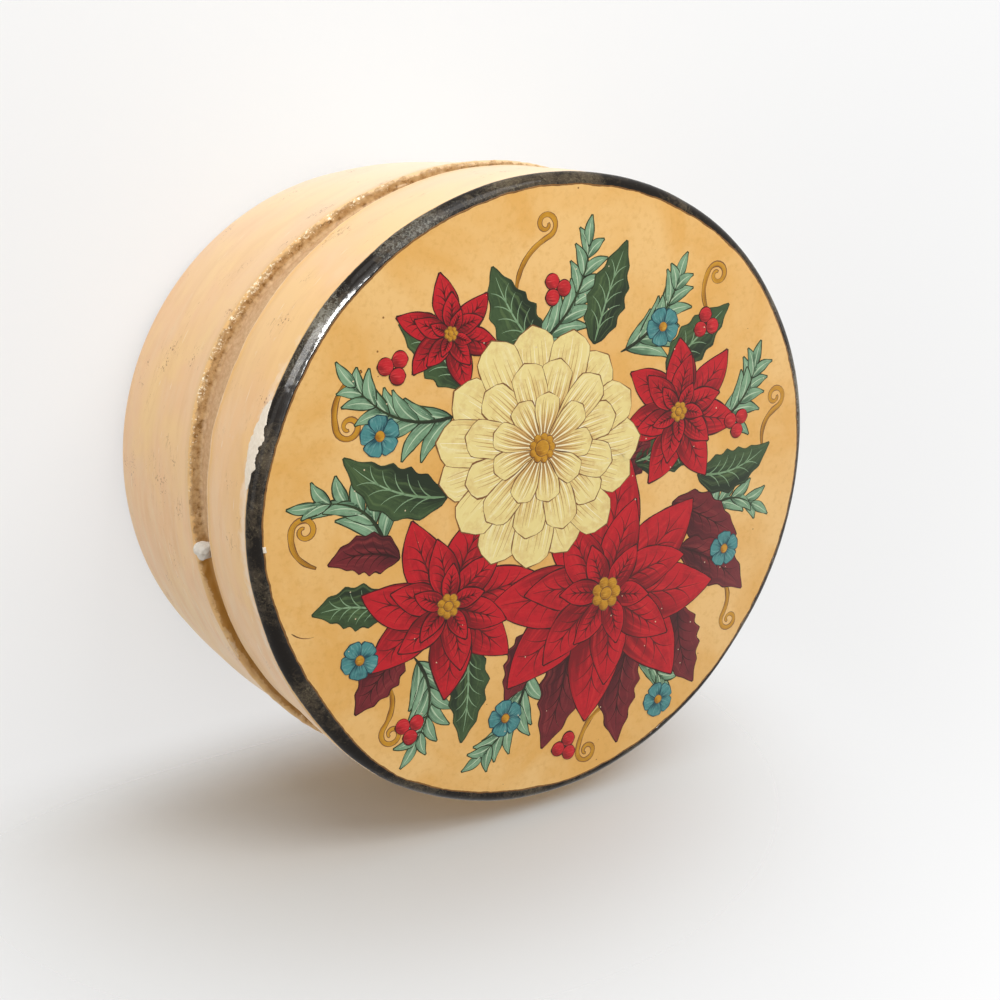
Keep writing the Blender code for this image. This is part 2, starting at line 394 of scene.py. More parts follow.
def cream_paint_colour(tree, place, yellower, pinker):
    """Cream paint brushed round the box: yellower and pinker in soft patches 15 mm across, with
    ochre brush marks 5 mm wide, and painted paler on the side that the light falls on most, a
    painted highlight. Where it is thin, paler strokes and hair lines show. It has short brown
    rubs, and groups of brown specks 0.2 mm across.
    """
    patches = clouds(tree, place, per_mm(14.0), 4.0, 0.55, 0.4)
    pinkness = ramp(tree, patches, 0.4, 0.6)
    paint = mix(tree, pinkness, yellower, pinker)
    strokes = level_streaks(tree, place, 16.0, 5.5, 4.0, 0.55, 1.0)
    thicker = ramp(tree, strokes, 0.46, 0.72, high=0.5)
    brushed = mix(tree, thicker, paint, "#DEA968")
    # Painted highlight: the paint is mixed paler on the side that the light falls on most.
    lit_side_mark = painted_mark(tree, "bleached")
    lit_side_share = ramp(tree, lit_side_mark, 0.0, 1.0, high=0.8)
    bleached = mix(tree, lit_side_share, brushed, "#F8E6CB")
    parted = level_streaks(tree, place, 10.0, 2.8, 3.0, 0.5, 0.8)
    bare = ramp(tree, parted, 0.42, 0.7)
    thin_mark = painted_mark(tree, "thin")
    thinness = calculate(tree, "MULTIPLY_ADD", thin_mark, 0.35, patches)
    thin = ramp(tree, thinness, 0.5, 0.85, high=0.65)
    gesso_shows = calculate(tree, "MULTIPLY", bare, thin)
    thinned = mix(tree, gesso_shows, bleached, "#EDD0A6")
    scratches = level_streaks(tree, place, 6.0, 0.5, 1.0, distortion=0.5)
    scratch_way = calculate(tree, "MULTIPLY_ADD", thin_mark, 0.06, scratches)
    scratched = ramp(tree, scratch_way, 0.75, 0.8, high=0.7)
    colour = mix(tree, scratched, thinned, "#FBEAD6")
    rubs = level_streaks(tree, place, 1.5, 0.25, 2.0, distortion=0.8)
    where = clouds(tree, place, per_mm(6.0), 2.0)
    rub_way = calculate(tree, "MULTIPLY_ADD", where, 0.6, rubs)
    rubbed = ramp(tree, rub_way, 0.99, 1.08, high=0.6)
    marked = mix(tree, rubbed, colour, "#B98549")
    cells = add(tree, "TexVoronoi", {"Vector": place, "Scale": per_mm(0.5)})
    speck_size = ramp(tree, where, 0.57, 0.7, high=0.55)
    own_size = calculate(tree, "MULTIPLY", speck_size, cells.outputs["Color"])
    off_speck = calculate(tree, "SUBTRACT", cells, own_size)
    speck = ramp(tree, off_speck, -0.1, 0.02, 0.75, 0.0)
    dirty = mix(tree, speck, marked, "#96500F")
    return dirty, strokes


def priming_colour(tree, grain):
    """Tan priming, mottled by the grain of the board under it."""
    mottled = ramp(tree, grain, 0.2, 0.8)
    return mix(tree, mottled, "#B98A5C", "#E9C79C")


def make_cream_side():
    """Casein paint under satin lacquer: soft sheen, faint brush ridges, brown specks. At the
    body's lip it turns ochre from handling and ends raggedly, and the lip's top is a crust of
    brown bole with flecks of gold leaf left on it, painted pale cream as painted glints."""
    material, shader, tree, place = start_material(
        "cream_paint_under_lacquer", 0.45, 0.3, 0.28, 0.3)
    paint, strokes = cream_paint_colour(tree, place, "#F0C684", "#ECBC85")
    rough = clouds(tree, place, per_mm(0.9), 5.0, 0.65)
    coarse = clouds(tree, place, per_mm(2.2), 5.0, 0.7)
    lip = painted_mark(tree, "lip")
    handling = ramp(tree, lip, -2.6, -0.1, high=0.6)
    handled = mix(tree, handling, paint, "#DDAF6A")
    torn = calculate(tree, "MULTIPLY_ADD", coarse, 2.4, lip)
    painted = ramp(tree, torn, 0.95, 1.15, 1.0, 0.0)
    gilt = painted_mark(tree, "gilt")
    crust = ramp(tree, rough, 0.36, 0.62)
    bole = mix(tree, crust, "#A97E4A", "#D0AA77")
    crevice_way = calculate(tree, "ADD", coarse, rough)
    crevice = ramp(tree, crevice_way, 0.78, 0.92, 0.85, 0.0)
    creviced = mix(tree, crevice, bole, "#7A5422")
    ends = calculate(tree, "MULTIPLY_ADD", coarse, -1.6, lip)
    bole_ended = ramp(tree, ends, 0.7, 1.3)
    primed = mix(tree, bole_ended, creviced, priming_colour(tree, rough))
    edge = mix(tree, painted, primed, handled)
    leaf_bits = clouds(tree, place, per_mm(0.42), 3.0, 0.7)
    left_over = clouds(tree, place, per_mm(3.0), 3.0)
    leaf_held = calculate(tree, "MULTIPLY_ADD", left_over, 0.4, leaf_bits)
    leaf_more = calculate(tree, "MULTIPLY_ADD", gilt, 0.12, leaf_held)
    leaf = ramp(tree, leaf_more, 0.87, 0.93)
    off_corner = calculate(tree, "SUBTRACT", lip, 0.1)
    from_corner = calculate(tree, "ABSOLUTE", off_corner)
    near_corner = ramp(tree, from_corner, 0.35, 0.8, 1.0, 0.0)
    # Painted highlight: the gold-leaf flecks are painted pale cream, standing in for their glints.
    glinting_flecks = calculate(tree, "MULTIPLY", leaf, near_corner)
    glint_flecked = mix(tree, glinting_flecks, edge, "#FBEBCB")
    stain = painted_mark(tree, "stain")
    stained = ramp(tree, stain, 0.3, 0.45)
    bared = calculate(tree, "SUBTRACT", 1.0, painted)
    glue = calculate(tree, "MULTIPLY", stained, bared)
    glued = mix(tree, glue, glint_flecked, "#C08A3E")
    underside = painted_mark(tree, "underside")
    below = ramp(tree, underside, -0.05, 0.05)
    colour = mix(tree, below, glued, "#171412")
    metal = calculate(tree, "MULTIPLY", glinting_flecks, 0.25)
    ridges = bumps(tree, strokes, 0.12, 0.15)
    grit = bumps(tree, rough, 0.04, 0.25, ridges)
    wire(tree, shader, {"Base Color": colour, "Metallic": metal, "Normal": grit})
    return material


foot_r = FOOT_INNER_RADIUS
lip_r = BODY_MOUTH_RADIUS - LIP_ROUNDING
outer_heights = spread(BODY_HEIGHT - LIP_ROUNDING, BODY_HEIGHT - LIP_REACH, LIP_STEP)
outer_heights += spread(BODY_HEIGHT - LIP_REACH, FOOT_ROUNDING, WALL_STEP)[1:-1]
body_profile = [(NECK_RADIUS - BASE_GAP, BODY_HEIGHT + LIP_FILLET + BASE_GAP)]
body_profile += arc(NECK_RADIUS + LIP_FILLET, BODY_HEIGHT + LIP_FILLET, LIP_FILLET, 180, 270, 5)
body_profile += [(r, BODY_HEIGHT) for r in spread(NECK_RADIUS + LIP_FILLET, lip_r, LIP_STEP)[1:-1]]
body_profile += arc(lip_r, BODY_HEIGHT - LIP_ROUNDING, LIP_ROUNDING, 90, 15, 4)
body_profile += [(body_outer_radius(z), z) for z in outer_heights]
body_profile += arc(foot_r, FOOT_ROUNDING, FOOT_ROUNDING, 0, -90, 9)
outside_rings = len(body_profile) - 1
body_profile += arc(foot_r, FOOT_ROUNDING, FOOT_ROUNDING - BOARD, -90, 0, 4)
seat_z = BODY_HEIGHT - SEAT_DEPTH
inner_heights = spread(FOOT_ROUNDING, seat_z - SEAT_SLOPE, INSIDE_STEP)[1:]
body_profile += [(body_outer_radius(z) - BOARD, z) for z in inner_heights]
body_profile += [(NECK_RADIUS - BASE_GAP, z) for z in (seat_z, BODY_HEIGHT - MOUTH_RING)]
body_spots, body_faces, marks = turned(body_profile, WALL_SEGMENTS, True, body_place, body_marks)
cream_side = make_cream_side()
body = make_piece("body_shell", body_spots, body_faces, [cream_side, black_lacquer], "box",
                  "body_paint", ["body_wall"], marks)
black_from(body, WALL_SEGMENTS, outside_rings)


# The neck: a thin ring glued inside the body's mouth, over which the lid slides. Its outside is
# bare tan priming, painted darker brown round the lid's edge as shade under the lid's overhang and
# as dirt where the edge rubs, and stained a glossy ochre where glue ran round one side of the
# groove; inside it is black.
NECK_BOARD = 1.6
NECK_TAPER = 0.3
NECK_GUIDE = 3.0
NECK_SEGMENTS = 480
NECK_STEP = 1.2
LID_EDGE_UNEVENNESS = 0.25
LID_EDGE_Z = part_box("lid_wall")[0].z / MM + LID_EDGE_UNEVENNESS
LID_EDGE_RISES = [(-46, 14, 0.9), (-25, 10, 0.6), (-3, 15, 1.2), (18, 12, 0.6), (49, 14, 0.5)]


def lid_edge_rise(angle):
    """How far the lid's hand-cut lower edge stands above its lowest height."""
    return swellings(angle, LID_EDGE_RISES)


def neck_place(angle, r, z):
    spot = oval_place(angle, r)
    return (spot.x, spot.y, z)


def neck_marks(angle, r, z):
    return {"off_lid": LID_EDGE_Z + lid_edge_rise(angle) - z, "stain": swelling(angle, *STAIN)}


def make_neck_priming():
    """Tan priming on bare board: matt and grainy, with a soft brown band round the lid's edge
    that is painted shade under the lid's overhang and dirt where the edge rubs, and a stain of
    glossy ochre glue."""
    material, shader, tree, place = start_material("tan_priming", 0.7)
    grain = clouds(tree, place, per_mm(0.7), 5.0, 0.7)
    tan = priming_colour(tree, grain)
    # Painted shade: the neck turns darker brown towards the lid's edge, standing in for the shade
    # under the lid's overhang, with dirt where the edge rubs.
    off_lid = painted_mark(tree, "off_lid")
    from_edge = calculate(tree, "ABSOLUTE", off_lid)
    grainy_off_edge = calculate(tree, "MULTIPLY_ADD", grain, 1.6, from_edge)
    edge_shade_and_dirt = ramp(tree, grainy_off_edge, 0.6, 3.0, 0.6, 0.1)
    dirty = mix(tree, edge_shade_and_dirt, tan, "#9A6A40")
    stain = painted_mark(tree, "stain")
    glue = ramp(tree, stain, 0.3, 0.45)
    ochre = mix(tree, grain, "#94601C", "#C08A34")
    colour = mix(tree, glue, dirty, ochre)
    gloss = ramp(tree, glue, 0.0, 1.0, 0.7, 0.3)
    bump = bumps(tree, grain, 0.1, 0.6)
    wire(tree, shader, {"Base Color": colour, "Roughness": gloss, "Normal": bump})
    return material


neck_bore = NECK_RADIUS - NECK_BOARD
neck_profile = [(NECK_RADIUS, z) for z in spread(
    NECK_FOOT_Z + NECK_TAPER, NECK_TOP_Z - NECK_GUIDE, NECK_STEP)]
neck_profile += [(NECK_RADIUS - NECK_TAPER, NECK_TOP_Z - NECK_TAPER)]
neck_profile += [(NECK_RADIUS - 2.0 * NECK_TAPER, NECK_TOP_Z)]
outer_neck_rings = len(neck_profile) - 1
neck_profile += [(neck_bore + NECK_TAPER, NECK_TOP_Z), (neck_bore, NECK_TOP_Z - NECK_TAPER)]
neck_profile += [(neck_bore, NECK_FOOT_Z + NECK_TAPER), (neck_bore + NECK_TAPER, NECK_FOOT_Z)]
neck_profile += [(NECK_RADIUS - NECK_TAPER, NECK_FOOT_Z)]
neck_spots, neck_faces, marks = turned(neck_profile, NECK_SEGMENTS, True, neck_place, neck_marks)
neck = make_piece("neck_band", neck_spots, neck_faces, [make_neck_priming(), black_lacquer], "box",
                  "neck_paint", ["neck_ring"], marks)
black_from(neck, NECK_SEGMENTS, outer_neck_rings)


# A blob of gesso that was dropped in the groove and left: a squat lump of chalk and glue, matt
# white and a little pitted, stuck to the neck and the body's lip.
BLOB_TURN = math.radians(5.9)
BLOB_Z = 40.75
BLOB_RADIUS = 49.75
BLOB_SIZE = Vector((1.35, 1.3, 1.35))
BLOB_WAVES = ((0.8, 0.3), (0.3, 0.1))


def make_gesso(name, low, high):
    """Chalk gesso: chalky and quite matt, with fine pits."""
    material, shader, tree, place = start_material(name, 0.85)
    pits = clouds(tree, place, per_mm(0.5), 4.0, 0.7)
    colour = mix(tree, pits, low, high)
    bump = bumps(tree, pits, 0.12, 0.7)
    wire(tree, shader, {"Base Color": colour, "Normal": bump})
    return material


def blob_lump():
    """A round lump, flattened along the radius and made uneven."""
    form = bmesh.new()
    bmesh.ops.create_icosphere(form, subdivisions=4, radius=1.0)
    turn = Matrix.Rotation(BLOB_TURN, 3, "Z")
    middle = Vector((AXIS.x, AXIS.y, BLOB_Z)) + turn @ Vector((BLOB_RADIUS, 0.0, 0.0))
    spots = []
    for vert in form.verts:
        lump = vert.co * (1.0 + waves(vert.co, BLOB_WAVES))
        spots.append(middle + turn @ (lump * BLOB_SIZE))
    faces = [[vert.index for vert in face.verts] for face in form.faces]
    form.free()
    return spots, faces


white_gesso = make_gesso("chalk_gesso", "#CBC1B2", "#F7F1E6")
make_piece("gesso_blob", *blob_lump(), [white_gesso], "box", "neck_paint")


# The lid's side: a short tube of pasteboard that slides over the neck, gessoed and finished in the
# same cream paint as the body, rubbed pale towards the rim. Inside it is black.
LID_RADIUS = 50.0
LID_DRAW_IN = 0.5
LID_EDGE_REACH = 6.0
LID_BEAD = 0.13
LID_BEAD_UP = 0.5
LID_BEAD_REACH = 0.3
LID_WAVES = (11.0, 0.18)
LID_EDGE_WAVES = ((4.5, 0.36), (1.5, 0.1))
STILL_MIDDLE = (40.0, 48.0)
LID_BORE_RADIUS = NECK_RADIUS + 0.35
LID_CORNERS = 0.36
LID_CORNER_TURN = math.radians(-32)
LID_BULGE = 0.45
LID_BULGE_TURN = -5
LID_BULGE_SPREAD = 10
RUBBED_RIM = (-4, 32)
RUBBED_REACH = (3.5, 0.5)
LID_MARKS = 0.7
LID_STILL_RADIUS = 20.0
LID_STILL_DEPTH = 1.0
LID_ROUNDING = 1.9
LID_DOME = 0.5
LID_RIM_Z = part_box("lid_disc")[1].z / MM - LID_DOME
LID_SEAM_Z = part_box("lid_disc")[0].z / MM
LID_SEGMENTS = 720
LID_STEP = 0.9
FINE_STEP = 0.25
RIM_REACH = 4.0
DRAW_IN_REACH = 12.0
EDGE_REACH = 2.0
EDGE_ROUND = 0.35
ROUND_START_Z = LID_RIM_Z - LID_ROUNDING
FACE_RADIUS = LID_RADIUS - LID_ROUNDING
OVER_THE_EDGE = LID_ROUNDING * math.pi / 2


def lid_outline(angle, radius, z):
    """How the lid's outside is pushed from a true oval."""
    swell = swelling(angle, LID_BULGE_TURN, LID_BULGE_SPREAD) * fade_in(z, LID_EDGE_Z, LID_SEAM_Z)
    push = LID_CORNERS * math.cos(3.0 * (angle - LID_CORNER_TURN)) + LID_BULGE * swell
    still_radius = LID_STILL_RADIUS if z > LID_SEAM_Z - LID_STILL_DEPTH else LID_BORE_RADIUS
    return toward(angle) * push * fade_in(radius, still_radius, LID_RADIUS)


def lid_place(angle, r, z):
    """A place on the lid: out of round and uneven, with a hand-cut lower edge."""
    spot = oval_place(angle, r) + lid_outline(angle, r, z)
    near_edge = fade_in(LID_EDGE_Z + LID_EDGE_REACH - z, 0.0, LID_EDGE_REACH)
    place = Vector((spot.x, spot.y, z + lid_edge_rise(angle) * near_edge))
    if r > LID_BORE_RADIUS + EDGE_ROUND or z > LID_SEAM_Z:
        place.z += waves(place, LID_EDGE_WAVES) * near_edge
        bead = LID_BEAD * math.exp(-((z - LID_EDGE_Z - LID_BEAD_UP) / LID_BEAD_REACH) ** 2)
        push = wave(place, *LID_WAVES) * fade_in(r, *STILL_MIDDLE) + bead
        place += toward(angle).to_3d() * push
    return place


def lid_marks(angle, r, z):
    near_rim = fade_in(z, *(LID_SEAM_Z - reach for reach in RUBBED_REACH))
    # The lid's side is painted paler on the lit side too, as a highlight, like the body.
    return {"thin": swelling(angle, *THIN_PAINT) * LID_MARKS,
            "bleached": swelling(angle, *PALE_LIT_SIDE) * LID_MARKS,
            "edge": z - LID_EDGE_Z, "rubbed": near_rim * swelling(angle, *RUBBED_RIM)}


def make_lid_side_paint():
    """The same cream paint and satin lacquer as the body's side has, ochre from handling near the
    lower edge, painted pale along the edge itself as a highlight where its bead catches the light,
    and rubbed pale beside the black at the rim."""
    material, shader, tree, place = start_material("cream_paint_on_lid", 0.45, 0.3, 0.28, 0.3)
    paint, strokes = cream_paint_colour(tree, place, "#EFC17C", "#EDBC82")
    edge = painted_mark(tree, "edge")
    handling = ramp(tree, edge, 0.3, 3.0, 0.4, 0.0)
    handled = mix(tree, handling, paint, "#DDAF6A")
    uneven = clouds(tree, place, per_mm(2.4), 5.0, 0.6)
    rubbed_mark = painted_mark(tree, "rubbed")
    rub_way = calculate(tree, "MULTIPLY_ADD", rubbed_mark, 0.45, uneven)
    rubbed = ramp(tree, rub_way, 0.66, 0.95, high=0.7)
    paled = mix(tree, rubbed, handled, "#F3DCC3")
    # Painted highlight: a thin line along the lower edge is painted pale, where light catches the
    # edge's bead.
    edge_way = calculate(tree, "MULTIPLY_ADD", uneven, 0.9, edge)
    worn = ramp(tree, edge_way, 0.7, 1.1, 0.75, 0.0)
    colour = mix(tree, worn, paled, "#F8E3BF")
    ridges = bumps(tree, strokes, 0.12, 0.15)
    wire(tree, shader, {"Base Color": colour, "Normal": ridges})
    return material


lid_low = LID_EDGE_Z
draw_in_z = lid_low + DRAW_IN_REACH
lid_edge_radius = LID_RADIUS - LID_DRAW_IN - EDGE_ROUND
lid_profile = [(LID_RADIUS, z) for z in spread(LID_SEAM_Z, LID_SEAM_Z - RIM_REACH, FINE_STEP)]
lid_profile += [(LID_RADIUS, z) for z in spread(LID_SEAM_Z - RIM_REACH, draw_in_z, LID_STEP)[1:]]
lid_profile += [(LID_RADIUS - LID_DRAW_IN * fade_in(draw_in_z - z, 0.0, DRAW_IN_REACH), z)
                for z in spread(draw_in_z, lid_low + EDGE_REACH, LID_STEP)[1:-1]
                + spread(lid_low + EDGE_REACH, lid_low + EDGE_ROUND, FINE_STEP)[:-1]]
lid_profile += arc(lid_edge_radius, lid_low + EDGE_ROUND, EDGE_ROUND, 0, -90, 4)
lid_outer_rings = len(lid_profile) - 1
lid_profile += [(LID_BORE_RADIUS + EDGE_ROUND / 2, lid_low)]
lid_profile += [(LID_BORE_RADIUS, lid_low + EDGE_ROUND)]
lid_profile += [(LID_BORE_RADIUS, z) for z in spread(
    lid_low + LID_EDGE_REACH, LID_SEAM_Z, PLAIN_STEP)]
lid_spots, lid_faces, marks = turned(lid_profile, LID_SEGMENTS, True, lid_place, lid_marks)
lid_side = make_piece("lid_side", lid_spots, lid_faces, [make_lid_side_paint(), black_lacquer],
                      "lid", "lid_side_paint", ["lid_wall"], marks)
black_from(lid_side, LID_SEGMENTS, lid_outer_rings)


# The lid's face: a board disc glued over the lid's end, with its edge rounded off. Its ground is
# warm tan under a thick gloss lacquer that has yellowed, with specks of brush dust in it.
FACE_RIM_REACH = 46.0
FACE_FINE_STEP = 0.15
FACE_STEP = 1.2


def rolling_lacquer(tree, place):
    """The slow roll of thick lacquer, some 14 mm from crest to crest."""
    roll = clouds(tree, place, per_mm(14.0), 2.0)
    return bumps(tree, roll, 0.3, 0.6)


def make_face_lacquer():
    """Tan ground under yellowed gloss lacquer: mottled a little lighter and darker, finely grained,
    with specks of dust 0.2 mm across and a slightly rolling surface."""
    material, shader, tree, place = start_material(
        "tan_ground_under_gloss_lacquer", 0.3, 0.12, 0.14, 0.2)
    mottle = clouds(tree, place, per_mm(15.0), 6.0, 0.6, 0.5)
    shade = ramp(tree, mottle, 0.38, 0.62)
    tan = mix(tree, shade, "#E1AB5C", "#EABD79")
    grain = clouds(tree, place, per_mm(0.9), 4.0, 0.65)
    grain_shows = ramp(tree, grain, 0.5, 0.72, high=0.4)
    grained = mix(tree, grain_shows, tan, "#CF9849")
    cells = add(tree, "TexVoronoi", {"Vector": place, "Scale": per_mm(2.6)})
    where = clouds(tree, place, per_mm(7.0), 2.0)
    size = ramp(tree, where, 0.38, 0.68, high=0.07)
    speck = calculate(tree, "LESS_THAN", cells, size)
    ground = mix(tree, speck, grained, "#8C5F2C")
    wire(tree, shader, {"Base Color": ground, "Normal": rolling_lacquer(tree, place)})
    return material


def face_height(r):
    """The height of the lid's face at a distance from the middle: a slight dome."""
    return LID_RIM_Z + LID_DOME * (1.0 - (r / FACE_RADIUS) ** 2)


face_profile = [(LID_RADIUS, LID_SEAM_Z)]
face_profile += arc(FACE_RADIUS, ROUND_START_Z, LID_ROUNDING, 0, 90, 15)
face_radii = spread(FACE_RADIUS, FACE_RIM_REACH, FACE_FINE_STEP)[1:]
face_radii += spread(FACE_RIM_REACH, 0.0, FACE_STEP)[1:]
face_profile += [(r, face_height(r)) for r in face_radii]
top_rings = len(face_profile) - 1
face_profile += [(r, LID_SEAM_Z) for r in spread(0.0, LID_BORE_RADIUS, PLAIN_STEP)]
face_spots, face_faces, _ = turned(face_profile, LID_SEGMENTS, True, lid_place)
face = make_piece("lid_face", face_spots, face_faces, [make_face_lacquer(), black_lacquer], "lid",
                  "lid_face_lacquer", ["lid_disc"])
black_from(face, LID_SEGMENTS, top_rings)


# The black edging: glossy black paint brushed by hand over the lid's rounded edge, so its inner
# line wanders. Handling has left a brown-grey film and fine olive and grey scratches on it.
BAND_FOOT = -0.1
BAND_EDGE_RADIUS = 48.15
BAND_WANDERS = [
    (-138, 14, 0.35), (-100, 24, 0.15), (27, 15, -0.72), (50, 9, 0.24), (80, 9, -0.35),
    (135, 16, 0.3), (176, 20, 0.32)]
BARE_EDGES = [(30, 10, 0.5), (46, 20, 0.6), (-118, 12, 0.35)]
FOOT_WAVES = ((6.0, 0.15), (0.7, 0.07))
LINE_WAVES = ((3.0, 0.16), (0.8, 0.07))
BAND_SEGMENTS = 1440
BAND_ACROSS = 14
BAND_LIFT = 0.09
BAND_LUMPS = 0.015
FRINGE_WIDTH = 0.26
FRINGE_SHARE = 0.6
FRINGE_WAVES = (2.6, 0.5)
FRINGE_ACROSS = 4
FRINGE_LIFT = 0.02
FRINGE_LUMPS = 0.01
PAINT_ROOT = -0.06
PAINT_CROWN = 0.12
LUMP_SIZE = 0.9
CRUMB_SIZE = 0.35
WORN_PLACES = (Vector((31.0, -38.0, 62.3)), Vector((-47.0, -6.0, 62.3)))


def face_spot(way):
    """The (r, z) that lies this many millimetres over the lid's edge: below 0 down its side, and
    from there over the rounding and in across the face."""
    if way <= 0.0:
        return LID_RADIUS, ROUND_START_Z + way
    if way < OVER_THE_EDGE:
        turn = way / LID_ROUNDING
        return (FACE_RADIUS + LID_ROUNDING * math.cos(turn),
                ROUND_START_Z + LID_ROUNDING * math.sin(turn))
    r = FACE_RADIUS + OVER_THE_EDGE - way
    return r, face_height(r)


def over_edge(angle, way, lift):
    """A place on the lid's surface at this way over its edge, lifted off it."""
    slope = min(max(way / LID_ROUNDING, 0.0), math.pi / 2)
    level = math.cos(slope)
    out = Vector((math.cos(angle) * level, math.sin(angle) * level, math.sin(slope)))
    return lid_place(angle, *face_spot(way)) + out * lift


def rim_point(angle):
    """A place on the lid's rim, from which the waves of its painted lines are taken."""
    return toward(angle).to_3d() * LID_RADIUS


def band_foot(angle):
    bare = swellings(angle, BARE_EDGES)
    return BAND_FOOT + bare + waves(rim_point(angle), FOOT_WAVES)


def band_end(angle):
    """Where the black ends on the lid's face: a hand-painted line that wanders in and out."""
    edge = BAND_EDGE_RADIUS + swellings(angle, BAND_WANDERS)
    way = OVER_THE_EDGE + FACE_RADIUS - edge
    if edge > FACE_RADIUS:
        way = LID_ROUNDING * math.acos(min(1.0, (edge - FACE_RADIUS) / LID_ROUNDING))
    return way + waves(rim_point(angle), LINE_WAVES)


def fringe_end(angle):
    return band_end(angle) + FRINGE_WIDTH * (FRINGE_SHARE + wave(rim_point(angle), *FRINGE_WAVES))


def across_coat(here, there, width):
    """The faces of a coat between two rows of its spots: those of its top, and its underside."""
    top = [(here + i, here + i + 1, there + i + 1, there + i) for i in range(width - 1)]
    return top + [(here, there, there + width - 1, here + width - 1)]


def painted_strip(angles, low, high, across, lift, lumps, closed):
    """A thin coat over the lid's edge, between two ways that depend on the angle. Its edges are
    sunk in the surface, so it is a closed body."""
    spots, faces = [], []
    for angle in angles:
        start, end = low(angle), high(angle)
        for i in range(across + 1):
            share = i / across
            way = start + (end - start) * share
            crown = fade_in(min(share, 1.0 - share), 0.0, PAINT_CROWN)
            flat = over_edge(angle, way, 0.0)
            uneven = waves(flat, ((LUMP_SIZE, lumps), (CRUMB_SIZE, 0.4 * lumps)))
            spots.append(over_edge(angle, way, PAINT_ROOT + (lift + uneven - PAINT_ROOT) * crown))
    width = across + 1
    count = len(angles)
    for j in range(count if closed else count - 1):
        faces += across_coat(j * width, (j + 1) % count * width, width)
    if not closed:
        faces += [tuple(range(width)), tuple(range((count - 1) * width, count * width))]
    return spots, faces


def make_edging_black():
    """Glossy black edging paint, rubbed by handling: the gloss ripples every 2 to 3 mm, a thin
    brown-grey film lies where the rim is worn, and fine olive scratches cross it, more and paler
    where fingers take the lid."""
    material, shader, tree, place = start_material("black_edging_paint", 0.35, 0.26, 0.1, 0.03)
    where = clouds(tree, place, per_mm(9.0), 2.0)
    film_noise = clouds(tree, place, per_mm(1.3), 6.0, 0.75, 0.8)
    film_way = calculate(tree, "MULTIPLY_ADD", where, 0.8, film_noise)
    film = ramp(tree, film_way, 0.84, 1.08, high=0.6)
    grey = mix(tree, film, "#140D06", "#5E5140")
    scratch_noise = clouds(tree, place, per_mm(0.5), 4.0, 0.7, 1.5)
    scratch_way = calculate(tree, "MULTIPLY_ADD", where, 0.5, scratch_noise)
    from_wear = [add(tree, "VectorMath", {0: place, 1: worn * MM}, operation="DISTANCE")
                 for worn in WORN_PLACES]
    from_nearest = calculate(
        tree, "MINIMUM", from_wear[0].outputs["Value"], from_wear[1].outputs["Value"])
    wear = ramp(tree, from_nearest, 10.0 * MM, 26.0 * MM, 1.0, 0.0)
    more_scratches = calculate(tree, "MULTIPLY_ADD", wear, 0.045, scratch_way)
    scratches = ramp(tree, more_scratches, 0.8, 0.98, high=0.55)
    scratch_colour = mix(tree, wear, "#7C7156", "#A09E90")
    colour = mix(tree, scratches, grey, scratch_colour)
    ripples = clouds(tree, place, per_mm(2.6), 2.0, 0.5)
    rippled = bumps(tree, ripples, 0.2, 0.2)
    rubbed = bumps(tree, film_noise, 0.06, 0.2, rippled)
    wire(tree, shader, {"Base Color": colour, "Normal": rubbed})
    return material


def make_thin_black():
    """The black's inner edge, where it is so thin that the ground browns it."""
    material, shader, tree, place = start_material("thin_black_edging", 0.3, 0.12, 0.14, 0.2)
    uneven = clouds(tree, place, per_mm(1.5), 3.0)
    colour = mix(tree, uneven, "#4A2C10", "#A06F32")
    wire(tree, shader, {"Base Color": colour})
    return material


round_angles = [math.tau * j / BAND_SEGMENTS - math.pi for j in range(BAND_SEGMENTS)]
band = painted_strip(
    round_angles, band_foot, band_end, BAND_ACROSS, BAND_LIFT, BAND_LUMPS, True)
fringe = painted_strip(
    round_angles, lambda angle: band_end(angle) - FRINGE_WIDTH, fringe_end, FRINGE_ACROSS,
    FRINGE_LIFT, FRINGE_LUMPS, True)
make_piece("thin_edging", *fringe, [make_thin_black()], "lid", "lid_face_lacquer")
edging = make_piece("black_edging", *band, [make_edging_black()], "lid", "lid_face_lacquer")


# A chip at the rim: where the lid was knocked, the cream and some of the black came away and left
# the white gesso bare, with a ragged outline. A tiny nick at the black's inner line is bare too.
CHIP_TURNS = (-25.0, -10.5)
CHIP_SEGMENTS = 160
CHIP_ACROSS = 12
CHIP_LIFT = 0.13
CHIP_LUMPS = 0.05
CHIP_WIDTH = 2.5
CHIP_LOW_WAVES = ((1.6, 0.6), (0.5, 0.4))
CHIP_BITE = 1.0
CHIP_OVERLAP = 0.02
CHIP_HIGH_WAVES = ((1.3, 0.6), (0.4, 0.25))
CHIP_BLUNTNESS = 0.6
NICK_TURNS = (-1.7, -0.7)
NICK_STEP = 0.1
NICK_OUT = 0.25
NICK_IN = 0.35
NICK_ACROSS = 6


def chip_share(angle):
    """0 at the chip's two ends and 1 at its widest."""
    start, end = (math.radians(turn) for turn in CHIP_TURNS)
    if not start < angle < end:
        return 0.0
    return math.sin(math.pi * (angle - start) / (end - start)) ** CHIP_BLUNTNESS


def chip_low(angle):
    ragged = waves(rim_point(angle), CHIP_LOW_WAVES)
    return BAND_FOOT - chip_share(angle) * (CHIP_WIDTH + ragged)


def chip_high(angle):
    ragged = waves(-rim_point(angle), CHIP_HIGH_WAVES)
    return BAND_FOOT + CHIP_OVERLAP + chip_share(angle) * (CHIP_BITE + ragged)


